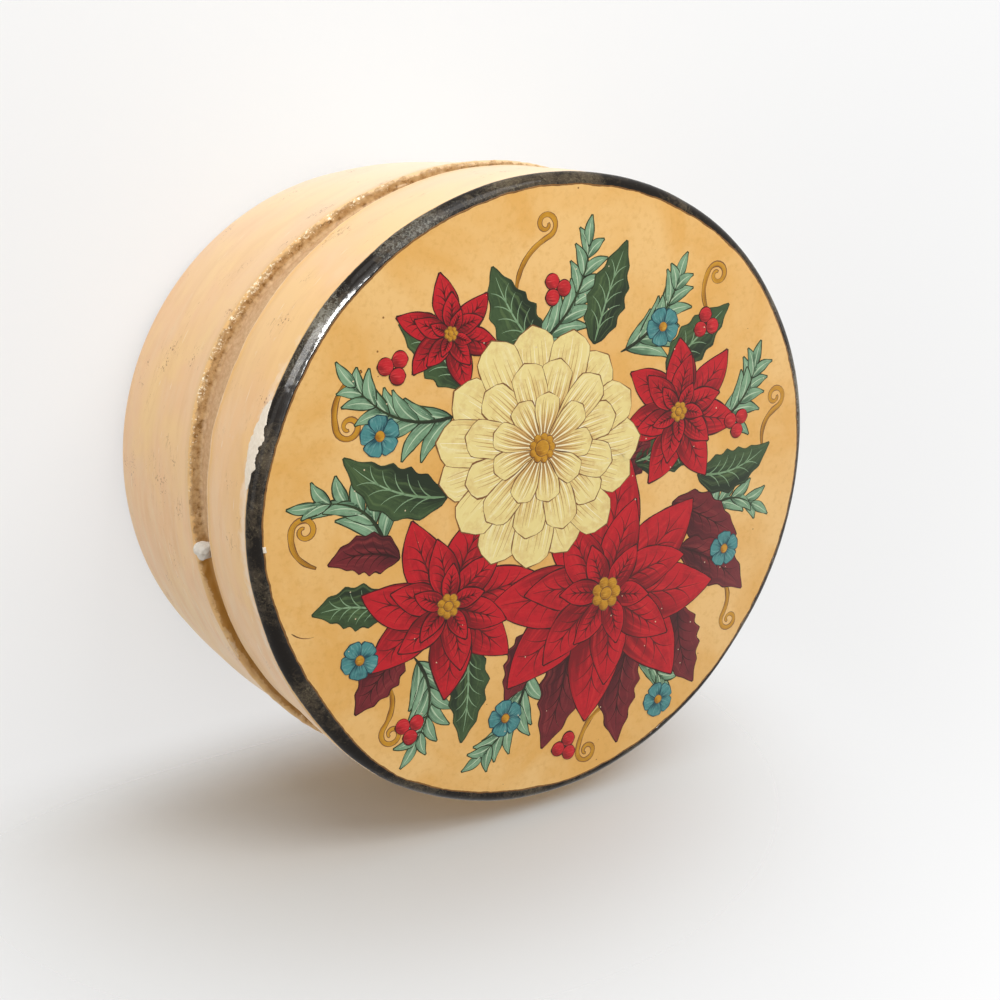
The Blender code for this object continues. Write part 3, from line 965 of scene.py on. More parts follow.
chip_step = (CHIP_TURNS[1] - CHIP_TURNS[0]) / CHIP_SEGMENTS
chip_angles = [math.radians(turn) for turn in spread(*CHIP_TURNS, chip_step)]
chip = painted_strip(
    chip_angles, chip_low, chip_high, CHIP_ACROSS, CHIP_LIFT, CHIP_LUMPS, False)
aged_gesso = make_gesso("aged_gesso", "#D9C8AE", "#FFF5E6")
make_piece("bare_gesso", *chip, [aged_gesso], "lid", "lid_side_paint")
nick_angles = [math.radians(turn) for turn in spread(*NICK_TURNS, NICK_STEP)]
nick = painted_strip(
    nick_angles, lambda angle: band_end(angle) - NICK_OUT, lambda angle: band_end(angle) + NICK_IN,
    NICK_ACROSS, CHIP_LIFT, CHIP_LUMPS, False)
make_piece("rim_nick", *nick, [aged_gesso], "lid", "lid_face_lacquer")


# The painted ornament is generic folk work, flowers and leaves in tempera under the lacquer. Each
# stroke is a thin coat of paint with a firm edge, laid in picture coordinates where u is to the
# right and v is up as the camera sees the lid. First come sprays of slim sage leaves.
HAND = random.Random(41)
LINE_ACROSS = (-1.0, 1.0)
LEAF_ACROSS = (-1.0, -0.5, 0.0, 0.5, 1.0)
COAT_STEP = 0.004
COAT_EDGE = 0.03
HAND_WOBBLE = 0.13
HAND_WOBBLE_SIZE = 1.6
LINER = 0.35
LEAST_HALF_WIDTH = 0.02
LEAF_BLUNTNESS = 0.85
FIRM_EDGE = 25
ALMOST = 0.002
HAIRS = (1.6, 5.0, 37.0)


def on_face(spot, lift):
    """The place of a point of the picture on the lid's face, lifted by the paint's thickness."""
    r = spot.length
    return lid_place(math.atan2(-spot.y, -spot.x), r, face_height(r)) + Vector((0.0, 0.0, lift))


def bow(start, end, bend):
    """A spine from start to end that bows sideways by bend times its length."""
    start, end = Vector(start), Vector(end)
    way = end - start
    side = Vector((-way.y, way.x)) * bend
    return lambda t: start + way * t + side * (4.0 * t * (1.0 - t))


def along_way(spine, t):
    """The unit vector along a spine, and the one across it."""
    ahead = (spine(t + ALMOST) - spine(t - ALMOST)).normalized()
    return ahead, Vector((-ahead.y, ahead.x))


def pointed(half_width, fullest=0.42):
    """The half width of a leaf along its length: rounded at its foot, pointed at its tip."""
    power = math.log(0.5) / math.log(fullest)

    def half(t):
        share = min(max(t, 0.0), 1.0)
        return half_width * max(0.0, math.sin(math.pi * share ** power)) ** LEAF_BLUNTNESS
    return half


def tapered(half_width):
    """The half width of a liner stroke: pressed at its start and lifted off at its end."""
    return lambda t: half_width * min(1.0, 0.3 + t / 0.15) * (1.0 - t) ** 0.6


def new_coat():
    return {"spots": [], "faces": [], "along": [], "across": [], "tint": []}


def brush(coat, spine, half_width, lift, steps=12, across=LEAF_ACROSS, grow=0.0):
    """One stroke of paint along a spine, as a closed body whose edges are sunk in the lacquer."""
    tint = HAND.random()
    first = len(coat["spots"])
    width = len(across) + 2
    for i in range(-1, steps + 2):
        t = min(max(i / steps, 0.0), 1.0)
        ahead, side = along_way(spine, min(max(t, ALMOST), 1.0 - ALMOST))
        beyond = i in (-1, steps + 1)
        off_end = grow + COAT_EDGE if beyond else grow if i in (0, steps) else 0.0
        middle = spine(t) + ahead * off_end * (1.0 if i > 0 else -1.0)
        half = max(half_width(t), LEAST_HALF_WIDTH) + grow
        if half > LINER:
            half += wave((middle.x, middle.y, 90.0 * tint), HAND_WOBBLE_SIZE, HAND_WOBBLE)
        reaches = [-half - COAT_EDGE] + [share * half for share in across] + [half + COAT_EDGE]
        for j, reach in enumerate(reaches):
            sunk = beyond or j in (0, width - 1)
            coat["spots"].append(on_face(middle + side * reach, PAINT_ROOT if sunk else lift))
            coat["along"].append(t)
            coat["across"].append(reach / half)
            coat["tint"].append(tint)
    for i in range(steps + 2):
        coat["faces"] += across_coat(first + i * width, first + (i + 1) * width, width)
    last = first + (steps + 2) * width
    coat["faces"] += [tuple(range(first, first + width)), tuple(range(last, last + width))]


def outlined(coat, rim_coat, spine, half_width, lift, rim, steps=12):
    """A stroke with a thin line of another colour showing all round it."""
    brush(rim_coat, spine, half_width, lift - COAT_STEP / 2, steps, grow=rim)
    brush(coat, spine, half_width, lift, steps)


def make_tempera(name, deep, main, light, foot=0.35, one_side=0.0):
    """Tempera paint under gloss lacquer. It is deeper towards the foot of each stroke, and may be
    deeper on one side of it, with fine streaks along the stroke where the hairs parted."""
    material, shader, tree, place = start_material(name, 0.32, 0.15, 0.14, 0.15)
    along = painted_mark(tree, "along")
    across = painted_mark(tree, "across")
    tint = painted_mark(tree, "tint")
    hairs = add(tree, "CombineXYZ", {"X": along, "Y": across, "Z": tint})
    parted = add(tree, "Mapping", {"Vector": hairs, "Scale": HAIRS})
    streaks = clouds(tree, parted, 1.0, 3.0, 0.6)
    sided = calculate(tree, "MULTIPLY_ADD", across, one_side, along)
    ragged = calculate(tree, "MULTIPLY_ADD", streaks, 0.8, sided)
    depth = ramp(tree, ragged, foot + 0.22, foot + 0.6, 1.0, 0.0)
    body = mix(tree, depth, main, deep)
    touch = ramp(tree, streaks, 0.52, 0.74, high=0.7)
    streaked = mix(tree, touch, body, light)
    pigment = clouds(tree, place, per_mm(2.2), 6.0, 0.7)
    thick = ramp(tree, pigment, 0.47, 0.68, high=0.55)
    uneven = mix(tree, thick, streaked, deep)
    dust = add(tree, "TexVoronoi", {"Vector": place, "Scale": per_mm(2.6)})
    speck = calculate(tree, "LESS_THAN", dust, 0.045)
    colour = mix(tree, speck, uneven, "#D9C3A0")
    ridges = bumps(tree, streaks, 0.03, 0.3, rolling_lacquer(tree, place))
    wire(tree, shader, {"Base Color": colour, "Normal": ridges})
    return material


def finish_coat(name, coat, material):
    """Turns the strokes of a coat into one piece."""
    marks = {mark: coat[mark] for mark in ("along", "across", "tint")}
    make_piece(name, coat["spots"], coat["faces"], [material], "lid", "lid_face_lacquer", (), marks,
               FIRM_EDGE)


SAGE_SPRAYS = [
    ((-6, 24), (5, 39), -0.14), ((11, 22), (22, 32), -0.12), ((-18, 16), (-34, 22), 0.16),
    ((-30, -2), (-40, 6), -0.2), ((-26, -20), (-26, -34), 0.18), ((30, 8), (38, 16), -0.15),
    ((28, -8), (39, -7), 0.2), ((-6, -26), (-14, -39), 0.14), ((15, -30), (21, -35), 0.12)]
SAGE_LIFT = 0.012
SAGE_LEAF = 7.4
SAGE_HALF_WIDTH = 1.15
SAGE_SPACING = 2.5
SAGE_LEAN = math.radians(36)
LEAF_LINE = 0.17
FINE_LINE = 0.13
STEM_LINE = 0.32

sage, sage_lines, stems, midribs = new_coat(), new_coat(), new_coat(), new_coat()


def lay_sage_leaf(root, tip, bend, half_width, lift):
    """A slim leaf with a dark line round it and a pale midrib."""
    spine = bow(root, tip, bend)
    outlined(sage, sage_lines, spine, pointed(half_width), lift, LEAF_LINE, 10)
    brush(midribs, lambda t: spine(0.05 + 0.8 * t), tapered(FINE_LINE), lift + COAT_STEP, 6,
          LINE_ACROSS)


def lay_spray(start, end, bend):
    """A stem with pairs of slim leaves that lean forward, and one leaf at its tip."""
    spine = bow(start, end, bend)
    pairs = round((Vector(end) - Vector(start)).length / SAGE_SPACING)
    for i in range(pairs):
        t = (i + 0.4) / pairs
        ahead, _ = along_way(spine, t)
        size = SAGE_LEAF * (1.05 - 0.5 * t)
        for side in (1.0, -1.0):
            way = Matrix.Rotation(side * (SAGE_LEAN + HAND.uniform(-0.15, 0.15)), 2) @ ahead
            tip = spine(t) + way * size * HAND.uniform(0.85, 1.1)
            lay_sage_leaf(spine(t), tip, -side * 0.1, SAGE_HALF_WIDTH * (1.0 - 0.3 * t),
                          SAGE_LIFT + COAT_STEP * (1 + i % 3))
    ahead, _ = along_way(spine, 1.0 - ALMOST)
    lay_sage_leaf(spine(1.0), spine(1.0) + ahead * SAGE_LEAF * 0.6, 0.05, SAGE_HALF_WIDTH * 0.7,
                  SAGE_LIFT + COAT_STEP * 2)
    brush(stems, spine, tapered(STEM_LINE), SAGE_LIFT + COAT_STEP * 5, 16, LINE_ACROSS)


for start, end, bend in SAGE_SPRAYS:
    lay_spray(start, end, bend)
line_green = make_tempera("line_green_tempera", "#1E2416", "#2F3B22", "#47552F")
finish_coat("sage_leaves", sage, make_tempera(
    "sage_tempera", "#4B6A4E", "#7C9E7C", "#A9C2A2", 0.2, 0.35))
finish_coat("sage_leaf_lines", sage_lines, line_green)
finish_coat("sage_midribs", midribs, make_tempera(
    "pale_sage_tempera", "#9DB592", "#BACCAB", "#D5DFC4"))
finish_coat("sage_stems", stems, line_green)


# Broad leaves behind the flowers: dark green and maroon, with soft teeth, a darker side, and veins
# drawn in with a liner.
BROAD_LIFT = 0.036
GREEN_LEAVES = [
    ((-4, 24), (-12, 37), 8.0), ((6, 24), (12, 39), 7.5), ((-17, 20), (-27, 30), 7.5),
    ((20, 18), (32, 27), 7.0), ((27, 0), (42, 3), 7.5), ((-20, 4), (-36, 12), 8.0),
    ((-30, -12), (-42, -10), 7.0), ((14, 4), (28, 3), 7.0), ((-17, -20), (-18, -36), 7.5),
    ((-14, 2), (-16, -6), 6.0)]
MAROON_LEAVES = [
    ((2, -24), (-3, -41), 9.0), ((14, -26), (12, -44), 8.5), ((24, -22), (28, -37), 9.0),
    ((24, -12), (38, -22), 9.0), ((22, -4), (36, -12), 8.0), ((-28, -18), (-36, -27), 7.0),
    ((-4, -20), (-10, -31), 7.5), ((10, 2), (17, 9), 7.0), ((-28, -4), (-39, -3), 6.5)]
TEETH = 5
TOOTH_DEPTH = 0.18
SIDE_VEINS = 5
MIDRIB = 0.2
LEAF_VEIN = 0.11

greens, green_lines, green_veins = new_coat(), new_coat(), new_coat()
maroons, maroon_lines, maroon_veins = new_coat(), new_coat(), new_coat()


def toothed(half_width):
    """A leaf's half width with a few soft teeth along its edge."""
    smooth = pointed(half_width, 0.4)
    return lambda t: smooth(t) * (1.0 - TOOTH_DEPTH * abs(math.sin(math.pi * TEETH * t)) ** 1.5)


def lay_veins(coat, spine, half_width, lift, reach, thick):
    """A midrib, and pairs of fine veins that leave it and curve towards the tip."""
    brush(coat, lambda t: spine(0.02 + 0.88 * t), tapered(MIDRIB), lift, 10, LINE_ACROSS)
    for i in range(SIDE_VEINS):
        t = 0.12 + 0.62 * i / SIDE_VEINS
        there = t + 0.17
        _, across = along_way(spine, there)
        for side in (1.0, -1.0):
            tip = spine(there) + across * side * half_width(there) * reach
            brush(coat, bow(spine(t), tip, -0.12 * side), tapered(thick), lift, 5, LINE_ACROSS)


def lay_broad_leaf(number, root, tip, width, leaves, lines, veins):
    spine = bow(root, tip, HAND.uniform(-0.12, 0.12))
    lift = BROAD_LIFT + COAT_STEP * (number % 3)
    half = toothed(width / 2)
    outlined(leaves, lines, spine, half, lift, LEAF_LINE, 30)
    lay_veins(veins, spine, half, lift + COAT_STEP / 2, 0.75, LEAF_VEIN)


for number, (root, tip, width) in enumerate(GREEN_LEAVES):
    lay_broad_leaf(number, root, tip, width, greens, green_lines, green_veins)
for number, (root, tip, width) in enumerate(MAROON_LEAVES):
    lay_broad_leaf(number, root, tip, width, maroons, maroon_lines, maroon_veins)
finish_coat("green_leaves", greens, make_tempera(
    "leaf_green_tempera", "#222D1B", "#3D5130", "#5E7346", 0.35, 0.45))
finish_coat("green_leaf_lines", green_lines, line_green)
finish_coat("green_leaf_veins", green_veins, make_tempera(
    "vein_green_tempera", "#6C8A62", "#88A47E", "#A4B996"))
maroon = make_tempera("maroon_tempera", "#46120F", "#641A1A", "#7E2A26")
dark_maroon = make_tempera("dark_maroon_tempera", "#2C0F0C", "#401512", "#5A211C")
finish_coat("maroon_leaves", maroons, make_tempera(
    "leaf_maroon_tempera", "#47171A", "#6E2226", "#8F3A37", 0.3, 0.4))
finish_coat("maroon_leaf_lines", maroon_lines, dark_maroon)
finish_coat("maroon_leaf_veins", maroon_veins, dark_maroon)


# Red flowers of pointed bracts in three rings. Each bract is maroon at its foot and has a maroon
# line round it and fine maroon veins, and small ochre buds fill the middle.
RED_LIFT = 0.05
RED_FLOWERS = [
    ((9.0, -17.0), 22.0, 8), ((-20.0, -13.0), 15.5, 7), ((22.5, 11.0), 12.5, 7),
    ((-19.0, 28.0), 8.5, 6)]
RING_SHARES = (1.0, 0.7, 0.42)
BRACT_WIDTH = 0.46
BRACT_LINE = 0.2
BRACT_VEIN = 0.12
THIN_LINE = 0.12
BUDS = 7
BUD_RING = 0.085
BUD_SIZE = 0.042
MIDDLE_BUD_SIZE = 0.05

reds, red_lines, red_veins = new_coat(), new_coat(), new_coat()
ochres, brown_lines = new_coat(), new_coat()


def lay_dot(coat, rim_coat, middle, radius, lift):
    """A round dab of paint with a thin line round it."""
    spine = bow(middle - Vector((radius, 0.0)), middle + Vector((radius, 0.0)), 0.0)

    def half(t):
        return radius * math.sqrt(max(0.0, 1.0 - (2.0 * t - 1.0) ** 2))
    outlined(coat, rim_coat, spine, half, lift, THIN_LINE)


def lay_bract(centre, turn, length, width, lift):
    way = toward(turn)
    spine = bow(centre + way * length * 0.06, centre + way * length, HAND.uniform(-0.07, 0.07))
    half = pointed(width / 2, 0.46)
    outlined(reds, red_lines, spine, half, lift, BRACT_LINE, 18)
    lay_veins(red_veins, spine, half, lift + COAT_STEP / 2, 0.8, BRACT_VEIN)


def lay_red_flower(centre, radius, count):
    centre = Vector(centre)
    start = HAND.random()
    for ring, share in enumerate(RING_SHARES):
        bracts = count - ring
        for i in range(bracts):
            turn = math.tau * (i + start + 0.5 * ring) / bracts + HAND.uniform(-0.07, 0.07)
            length = radius * share * HAND.uniform(0.92, 1.05)
            lift = RED_LIFT + COAT_STEP * (3 * ring + 1.5 * (i % 2))
            lay_bract(centre, turn, length, radius * share * BRACT_WIDTH, lift)
    lift = RED_LIFT + COAT_STEP * 10
    for i in range(BUDS):
        turn = math.tau * i / BUDS
        off = toward(turn) * radius * BUD_RING
        lay_dot(ochres, brown_lines, centre + off, radius * BUD_SIZE, lift)
    lay_dot(ochres, brown_lines, centre, radius * MIDDLE_BUD_SIZE, lift + COAT_STEP)


for centre, radius, count in RED_FLOWERS:
    lay_red_flower(centre, radius, count)
finish_coat("red_bracts", reds, make_tempera(
    "red_tempera", "#79151A", "#BC1D26", "#CF302F", 0.42, 0.25))
finish_coat("red_bract_lines", red_lines, dark_maroon)
finish_coat("red_bract_veins", red_veins, maroon)


# The big cream flower: strap-shaped petals in three rings, each drawn over with fine tan and pale
# lines from its foot, round a brown and ochre eye.
CREAM_LIFT = 0.1
CREAM_CENTRE = Vector((-3.5, 9.0))
CREAM_RADIUS = 18.5
CREAM_RINGS = [(1.0, 15, 7.0), (0.74, 12, 5.6), (0.48, 9, 4.2)]
CREAM_FOOT = 1.5
PETAL_LINE = 0.16
PETAL_LINES = 9
PETAL_LINE_FOOT = 0.08
EYE_DABS = 9
EYE_RING = 1.7
EYE_DAB = 0.62
EYE_MIDDLE = 1.25

creams, cream_lines, tan_strokes, pale_strokes = new_coat(), new_coat(), new_coat(), new_coat()


def strap(half_width):
    """A petal's half width: narrow at its foot, broad and blunt at its tip."""
    def half(t):
        broad = 0.35 + 0.65 * fade_in(t, 0.0, 0.65)
        return half_width * broad * (1.0 - fade_in(t, 0.8, 1.0) ** 2) ** 0.5
    return half


def beside(spine, half_width, share, reach):
    """A fine line's spine, at a share of the half width off a petal's own spine."""
    def line(t):
        here = PETAL_LINE_FOOT + (reach - PETAL_LINE_FOOT) * t
        _, across = along_way(spine, here)
        return spine(here) + across * share * half_width(here)
    return line


def lay_cream_petal(turn, length, width, lift):
    way = toward(turn)
    bend = HAND.uniform(-0.05, 0.05)
    spine = bow(CREAM_CENTRE + way * CREAM_FOOT, CREAM_CENTRE + way * length, bend)
    half = strap(width / 2)
    outlined(creams, cream_lines, spine, half, lift, PETAL_LINE, 16)
    for line in range(PETAL_LINES):
        share = ((line + 0.5) / PETAL_LINES * 2.0 - 1.0) * 0.9
        reach = HAND.uniform(0.74, 0.97) * (1.0 - 0.12 * abs(share))
        strokes = pale_strokes if line % 3 == 1 else tan_strokes
        brush(strokes, beside(spine, half, share, reach), tapered(FINE_LINE), lift + COAT_STEP / 2,
              8, LINE_ACROSS)


for ring, (share, petals, width) in enumerate(CREAM_RINGS):
    for i in range(petals):
        turn = math.tau * (i + 0.5 * ring) / petals + HAND.uniform(-0.05, 0.05)
        length = CREAM_RADIUS * share * HAND.uniform(0.94, 1.05)
        lay_cream_petal(turn, length, width, CREAM_LIFT + COAT_STEP * (3 * ring + 1.5 * (i % 2)))
for i in range(EYE_DABS):
    turn = math.tau * i / EYE_DABS
    off = toward(turn) * EYE_RING
    lay_dot(ochres, brown_lines, CREAM_CENTRE + off, EYE_DAB, CREAM_LIFT + COAT_STEP * 10)
lay_dot(ochres, brown_lines, CREAM_CENTRE, EYE_MIDDLE, CREAM_LIFT + COAT_STEP * 11)
brown = make_tempera("brown_tempera", "#5B3A1E", "#7C5230", "#9A6C40")
finish_coat("cream_petals", creams, make_tempera(
    "cream_tempera", "#CFA765", "#E8D48E", "#F0E2AE", 0.4, 0.15))
finish_coat("cream_petal_lines", cream_lines, brown)
finish_coat("tan_petal_strokes", tan_strokes, make_tempera(
    "tan_tempera", "#A87C42", "#BC9050", "#CCA468"))
finish_coat("pale_petal_strokes", pale_strokes, make_tempera(
    "pale_tempera", "#F1E4B8", "#F6ECCB", "#FBF4DE"))


# Small things between the flowers: teal blossoms, red berries in threes, and ochre tendrils that
# roll up near the rim. A hairline crack in the lacquer, filled with dirt, is drawn with them.
BLOSSOMS = [
    (-30.5, 14.5), (-10.0, -34.0), (33.5, -14.0), (19.0, 25.0), (-35.0, -18.5), (20.5, -38.5)]
BERRIES = [(-28.0, 24.0), (27.5, 24.5), (-27.0, -31.5), (34.5, 7.5), (1.5, -42.0), (-1.0, 33.0)]
TENDRILS = [
    ((-8, 31), (-2, 41), 0.18, 1), ((28, 26), (28, 33), 0.15, -1), ((-33, 24), (-37, 16), -0.2, 1),
    ((40.5, 3), (43.5, 9), 0.2, 1), ((-31.5, -22), (-31.5, -30.5), 0.2, 1),
    ((12.8, -36), (4, -43.5), -0.2, 1), ((33, -19), (34, -26.4), 0.2, 1),
    ((-41, -3), (-44, 3), 0.2, -1)]
TENDRIL_CURL = 1.9
TENDRIL_TURNS = 1.2
TENDRIL_STEM = 0.5
TENDRIL_END = 0.1
TENDRIL_SWELL = 0.26
SMALL_LIFT = 0.09
BLOSSOM_PETALS = 5
BLOSSOM_PETAL = 3.0
BLOSSOM_FOOT = 0.3
BLOSSOM_HALF_WIDTH = 1.35
BLOSSOM_LINE = 0.14
BLOSSOM_EYE = 0.7
BERRY_GROUP = 3
BERRY_SPACING = 1.15
BERRY_RADIUS = 1.2
CRACK_START = (-45.4, -12.1)
CRACK_END = (-42.0, -13.3)
CRACK_HALF_WIDTH = 0.11

teals, teal_lines, berries, berry_lines = new_coat(), new_coat(), new_coat(), new_coat()
for place in BLOSSOMS:
    middle, start = Vector(place), HAND.random()
    for i in range(BLOSSOM_PETALS):
        turn = math.tau * (i + start) / BLOSSOM_PETALS
        way = toward(turn)
        spine = bow(middle + way * BLOSSOM_FOOT, middle + way * BLOSSOM_PETAL, 0.0)
        outlined(teals, teal_lines, spine, strap(BLOSSOM_HALF_WIDTH),
                 SMALL_LIFT + COAT_STEP * (i % 2), BLOSSOM_LINE, 10)
    lay_dot(ochres, brown_lines, middle, BLOSSOM_EYE, SMALL_LIFT + COAT_STEP * 3)
for place in BERRIES:
    start = HAND.random()
    for i in range(BERRY_GROUP):
        turn = math.tau * (i + start) / BERRY_GROUP
        off = toward(turn) * BERRY_RADIUS * BERRY_SPACING
        lay_dot(berries, berry_lines, Vector(place) + off, BERRY_RADIUS, SMALL_LIFT + COAT_STEP * i)


def tendril_spine(start, end, bend, hand):
    """A bowed stem that rolls up in a curl at its end."""
    stem = bow(start, end, bend)
    _, across = along_way(stem, 1.0 - ALMOST)
    arm = across * -hand * TENDRIL_CURL
    middle = stem(1.0) - arm

    def spine(t):
        if t < TENDRIL_STEM:
            return stem(t / TENDRIL_STEM)
        curled = (t - TENDRIL_STEM) / (1.0 - TENDRIL_STEM)
        turn = Matrix.Rotation(hand * curled * TENDRIL_TURNS * math.tau, 2)
        return middle + turn @ arm * (1.0 - 0.75 * curled)
    return spine


def tendril_half_width(t):
    return TENDRIL_END + TENDRIL_SWELL * math.sin(math.pi * t) ** 0.5


for start, end, bend, hand in TENDRILS:
    outlined(ochres, brown_lines, tendril_spine(start, end, bend, hand),
             tendril_half_width, COAT_STEP * 2, THIN_LINE, 48)
finish_coat("ochre_touches", ochres, make_tempera(
    "ochre_tempera", "#9A6418", "#C48C26", "#DDB04A", 0.3, 0.3))
finish_coat("brown_lines", brown_lines, brown)
finish_coat("teal_petals", teals, make_tempera(
    "teal_tempera", "#1F4A52", "#4B8785", "#86AFA8", 0.3, 0.2))
finish_coat("teal_petal_lines", teal_lines, make_tempera(
    "dark_teal_tempera", "#16323A", "#1F4149", "#2B535A"))
crack = new_coat()
brush(crack, bow(CRACK_START, CRACK_END, -0.12), tapered(CRACK_HALF_WIDTH), COAT_STEP, 16,
      LINE_ACROSS)
finish_coat("hairline_crack", crack, brown)
finish_coat("red_berries", berries, make_tempera(
    "berry_tempera", "#8C1A1C", "#C3242B", "#DC5650", 0.3, 0.4))
finish_coat("red_berry_lines", berry_lines, dark_maroon)


# The stage: a pale floor under the foot, a soft-edged pale card on which the box seems to stand on
# its edge when seen by the camera, soft lamps, and a camera at the photograph's angle.
LENS = 54.0
SENSOR = 36.0
CAMERA_PLACE = Vector((124.62, -69.58, 243.77))
CAMERA_UP = Vector((-0.1604, -0.9552, -0.249))
CAMERA_BACK = Vector((0.5083, -0.2958, 0.809))
FLOOR_HALF = 1500.0
CARD_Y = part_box("body_wall")[1].y / MM + 0.4
CARD_HALF = 240.0
CARD_FOOT = 0.1
FLOOR_MIDDLE = Vector((0.0, 0.0, 30.0))
CARD_MIDDLE = Vector((20.0, 0.0, 36.0))
FLOOR_SHADE = 0.42
FLOOR_REACH = (75.0, 330.0)
CARD_SHADE = 1.0
CARD_REACH = (56.0, 118.0)
CARD_FADE_HEIGHT = 35.0
LAMP_AIM = Vector((0.0, 0.0, 35.0))
WORLD_STRENGTH = 0.38
# Each lamp has its direction, its distance, the length of its side, and its watts.
LAMPS = [
    ("window_lamp", (0.30, -0.40, 0.87), 590.0, 330.0, 0.38),
    ("sky_lamp", (-0.18, -0.72, 0.67), 390.0, 200.0, 0.73),
    ("top_lamp", (0.16, -0.96, 0.22), 990.0, 650.0, 3.6),
    ("left_lamp", (0.96, -0.16, 0.21), 790.0, 450.0, 1.02),
    ("far_lamp", (-0.89, 0.21, 0.41), 1000.0, 700.0, 2.0)]
PANE_HEIGHT = 330.0
PANE_DISTANCE = 420.0
# Each pane has its direction, the way its height runs, its width, and its watts.
PANES = [
    ("near_window_pane", (0.01, -0.205, 0.978), (0.72, -0.69, 0.0), 70.0, 9.0),
    ("side_window_pane", (0.63, -0.5, 0.585), (0.82, -0.57, 0.0), 110.0, 2.4)]


def looked_at(tree):
    """1 where the camera, a gloss or a glass looks at a thing, and 0 where light does."""
    path = add(tree, "LightPath").outputs
    seen = calculate(tree, "MAXIMUM", path["Is Camera Ray"], path["Is Glossy Ray"])
    return calculate(tree, "MAXIMUM", seen, path["Is Transmission Ray"])


def make_pale(name, colour, shade, middle, reach):
    """Pale paper: near the box a share of it is lit and shows shadows, and the rest is white
    wherever it is seen."""
    material, shader, tree, place = start_material(name, 0.9)
    shader.inputs["Base Color"].default_value = srgb(colour)
    off_box = add(tree, "VectorMath", {0: place, 1: middle * MM}, operation="DISTANCE")
    near = add(tree, "MapRange", {
        "Value": off_box.outputs["Value"], "From Min": reach[0] * MM, "From Max": reach[1] * MM,
        "To Min": 1.0, "To Max": 0.0}, interpolation_type="SMOOTHSTEP")
    lit = calculate(tree, "MULTIPLY", near, shade)
    unlit = calculate(tree, "SUBTRACT", 1.0, lit)
    share = calculate(tree, "MULTIPLY", looked_at(tree), unlit)
    white = add(tree, "Emission", {"Color": srgb("#FFFFFF"), "Strength": 1.0})
    mixed = add(tree, "MixShader", {"Fac": share, 1: shader, 2: white})
    wire(tree, tree.nodes["Material Output"], {"Surface": mixed})
    return material, mixed, near


def make_card_paper():
    """Pale paper that fades out round the box and towards the floor, seen from its front only."""
    material, paper, near = make_pale("card_paper", "#C0BFBC", CARD_SHADE, CARD_MIDDLE, CARD_REACH)
    tree = material.node_tree
    place = add(tree, "TexCoord").outputs["Object"]
    height = add(tree, "SeparateXYZ", {"Vector": place})
    off_floor = add(tree, "MapRange", {
        "Value": height.outputs["Z"], "From Max": CARD_FADE_HEIGHT * MM},
        interpolation_type="SMOOTHSTEP")
    there = calculate(tree, "MULTIPLY", near, off_floor)
    front = calculate(tree, "SUBTRACT", 1.0, add(tree, "NewGeometry").outputs["Backfacing"])
    shown = calculate(tree, "MULTIPLY", there, front)
    clear = add(tree, "BsdfTransparent")
    faded = add(tree, "MixShader", {"Fac": shown, 1: clear, 2: paper})
    wire(tree, tree.nodes["Material Output"], {"Surface": faded})
    return material


def make_stage_sheet(name, corners, material):
    mesh = bpy.data.meshes.new(name)
    mesh.from_pydata([Vector(corner) * MM for corner in corners], [], [(0, 1, 2, 3)])
    mesh.materials.append(material)
    sheet = bpy.data.objects.new(name, mesh)
    bpy.context.collection.objects.link(sheet)
    return sheet


def make_lamp(name, way, distance, size, watts):
    """A square soft lamp that looks at the middle of the box from a direction."""
    lamp = bpy.data.lights.new(name, "AREA")
    lamp.size = size * MM
    lamp.energy = watts
    shown = bpy.data.objects.new(name, lamp)
    shown.location = (LAMP_AIM + Vector(way).normalized() * distance) * MM
    shown.rotation_mode = "QUATERNION"
    shown.rotation_quaternion = Vector(way).to_track_quat("Z", "Y")
    bpy.context.collection.objects.link(shown)
    return shown


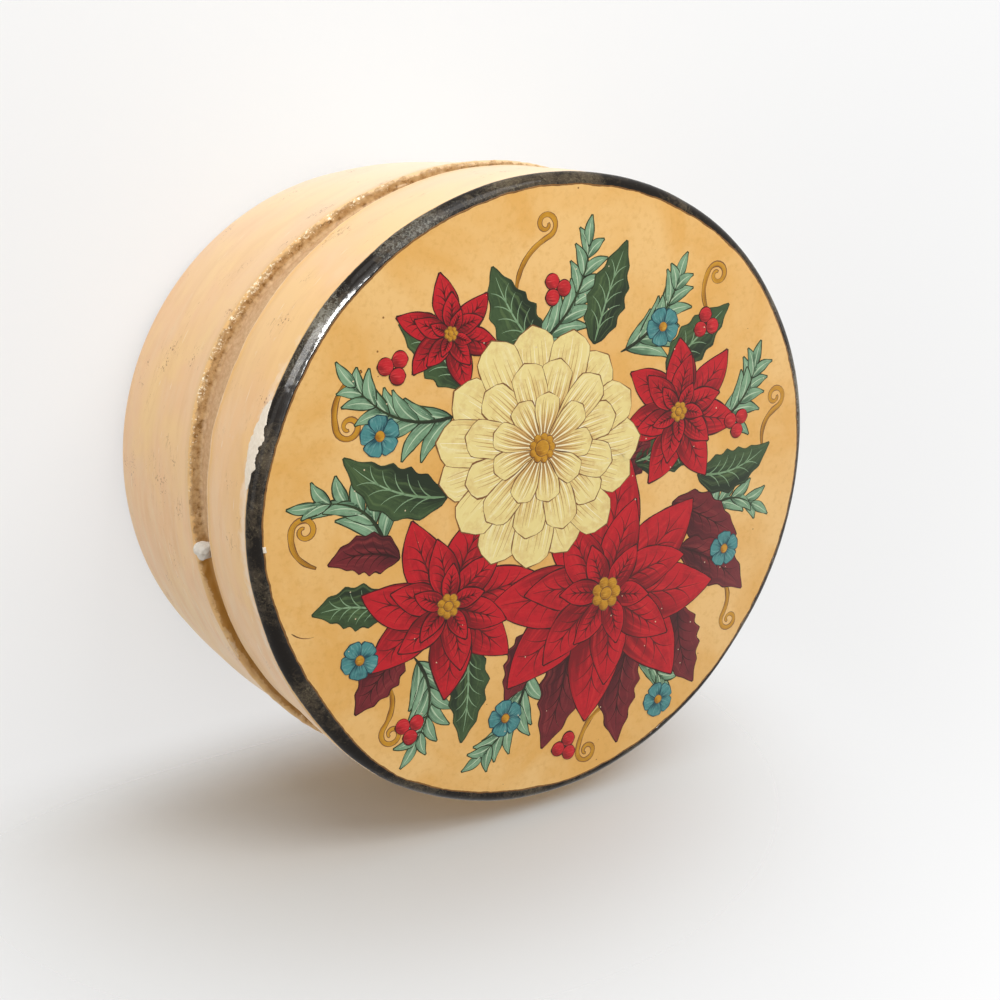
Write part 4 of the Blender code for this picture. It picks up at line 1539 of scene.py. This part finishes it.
def make_window_pane(name, way, tall_way, width, watts, seen_in):
    """A tall pale window that shows only as a reflection in the black edging's gloss."""
    pane = make_lamp(name, way, PANE_DISTANCE, width, watts)
    pane.data.shape = "RECTANGLE"
    pane.data.size_y = PANE_HEIGHT * MM
    back = Vector(way).normalized()
    up = (Vector(tall_way) - back * back.dot(Vector(tall_way))).normalized()
    pane.rotation_quaternion = Matrix((up.cross(back), up, back)).transposed().to_quaternion()
    for ray in ("diffuse", "transmission", "volume_scatter"):
        setattr(pane, "visible_" + ray, False)
    pane.light_linking.receiver_collection = seen_in


def light_world():
    """White wherever it is seen, and a plain level of light on the object."""
    world = bpy.data.worlds.new("pale_room")
    world.use_nodes = True
    tree = world.node_tree
    strength = ramp(tree, looked_at(tree), 0.0, 1.0, WORLD_STRENGTH, 1.0)
    wire(tree, tree.nodes["Background"], {"Color": srgb("#FFFFFF"), "Strength": strength})
    bpy.context.scene.world = world


def place_camera():
    lens = bpy.data.cameras.new("camera")
    lens.lens, lens.sensor_width = LENS, SENSOR
    lens.clip_start, lens.clip_end = 10.0 * MM, 10000.0 * MM
    camera = bpy.data.objects.new("camera", lens)
    back = CAMERA_BACK.normalized()
    right = CAMERA_UP.cross(back).normalized()
    up = back.cross(right)
    turn = Matrix((right, up, back)).transposed()
    camera.matrix_world = Matrix.Translation(CAMERA_PLACE * MM) @ turn.to_4x4()
    bpy.context.collection.objects.link(camera)
    bpy.context.scene.camera = camera


floor_paper, _, _ = make_pale("floor_paper", "#E6E6E5", FLOOR_SHADE, FLOOR_MIDDLE, FLOOR_REACH)
make_stage_sheet("floor", [
    (-FLOOR_HALF, -FLOOR_HALF, 0), (FLOOR_HALF, -FLOOR_HALF, 0), (FLOOR_HALF, FLOOR_HALF, 0),
    (-FLOOR_HALF, FLOOR_HALF, 0)], floor_paper)
card = make_stage_sheet("card", [
    (-CARD_HALF, CARD_Y, CARD_FOOT), (CARD_HALF, CARD_Y, CARD_FOOT),
    (CARD_HALF, CARD_Y, CARD_HALF), (-CARD_HALF, CARD_Y, CARD_HALF)], make_card_paper())
for ray in ("diffuse", "glossy", "transmission", "shadow"):
    setattr(card, "visible_" + ray, False)
light_world()
for name, way, distance, size, watts in LAMPS:
    make_lamp(name, way, distance, size, watts)
glossy_edging = bpy.data.collections.new("glossy_edging")
glossy_edging.objects.link(edging)
for name, way, tall_way, width, watts in PANES:
    make_window_pane(name, way, tall_way, width, watts, glossy_edging)
place_camera()

bpy.context.scene.view_settings.view_transform = "Standard"
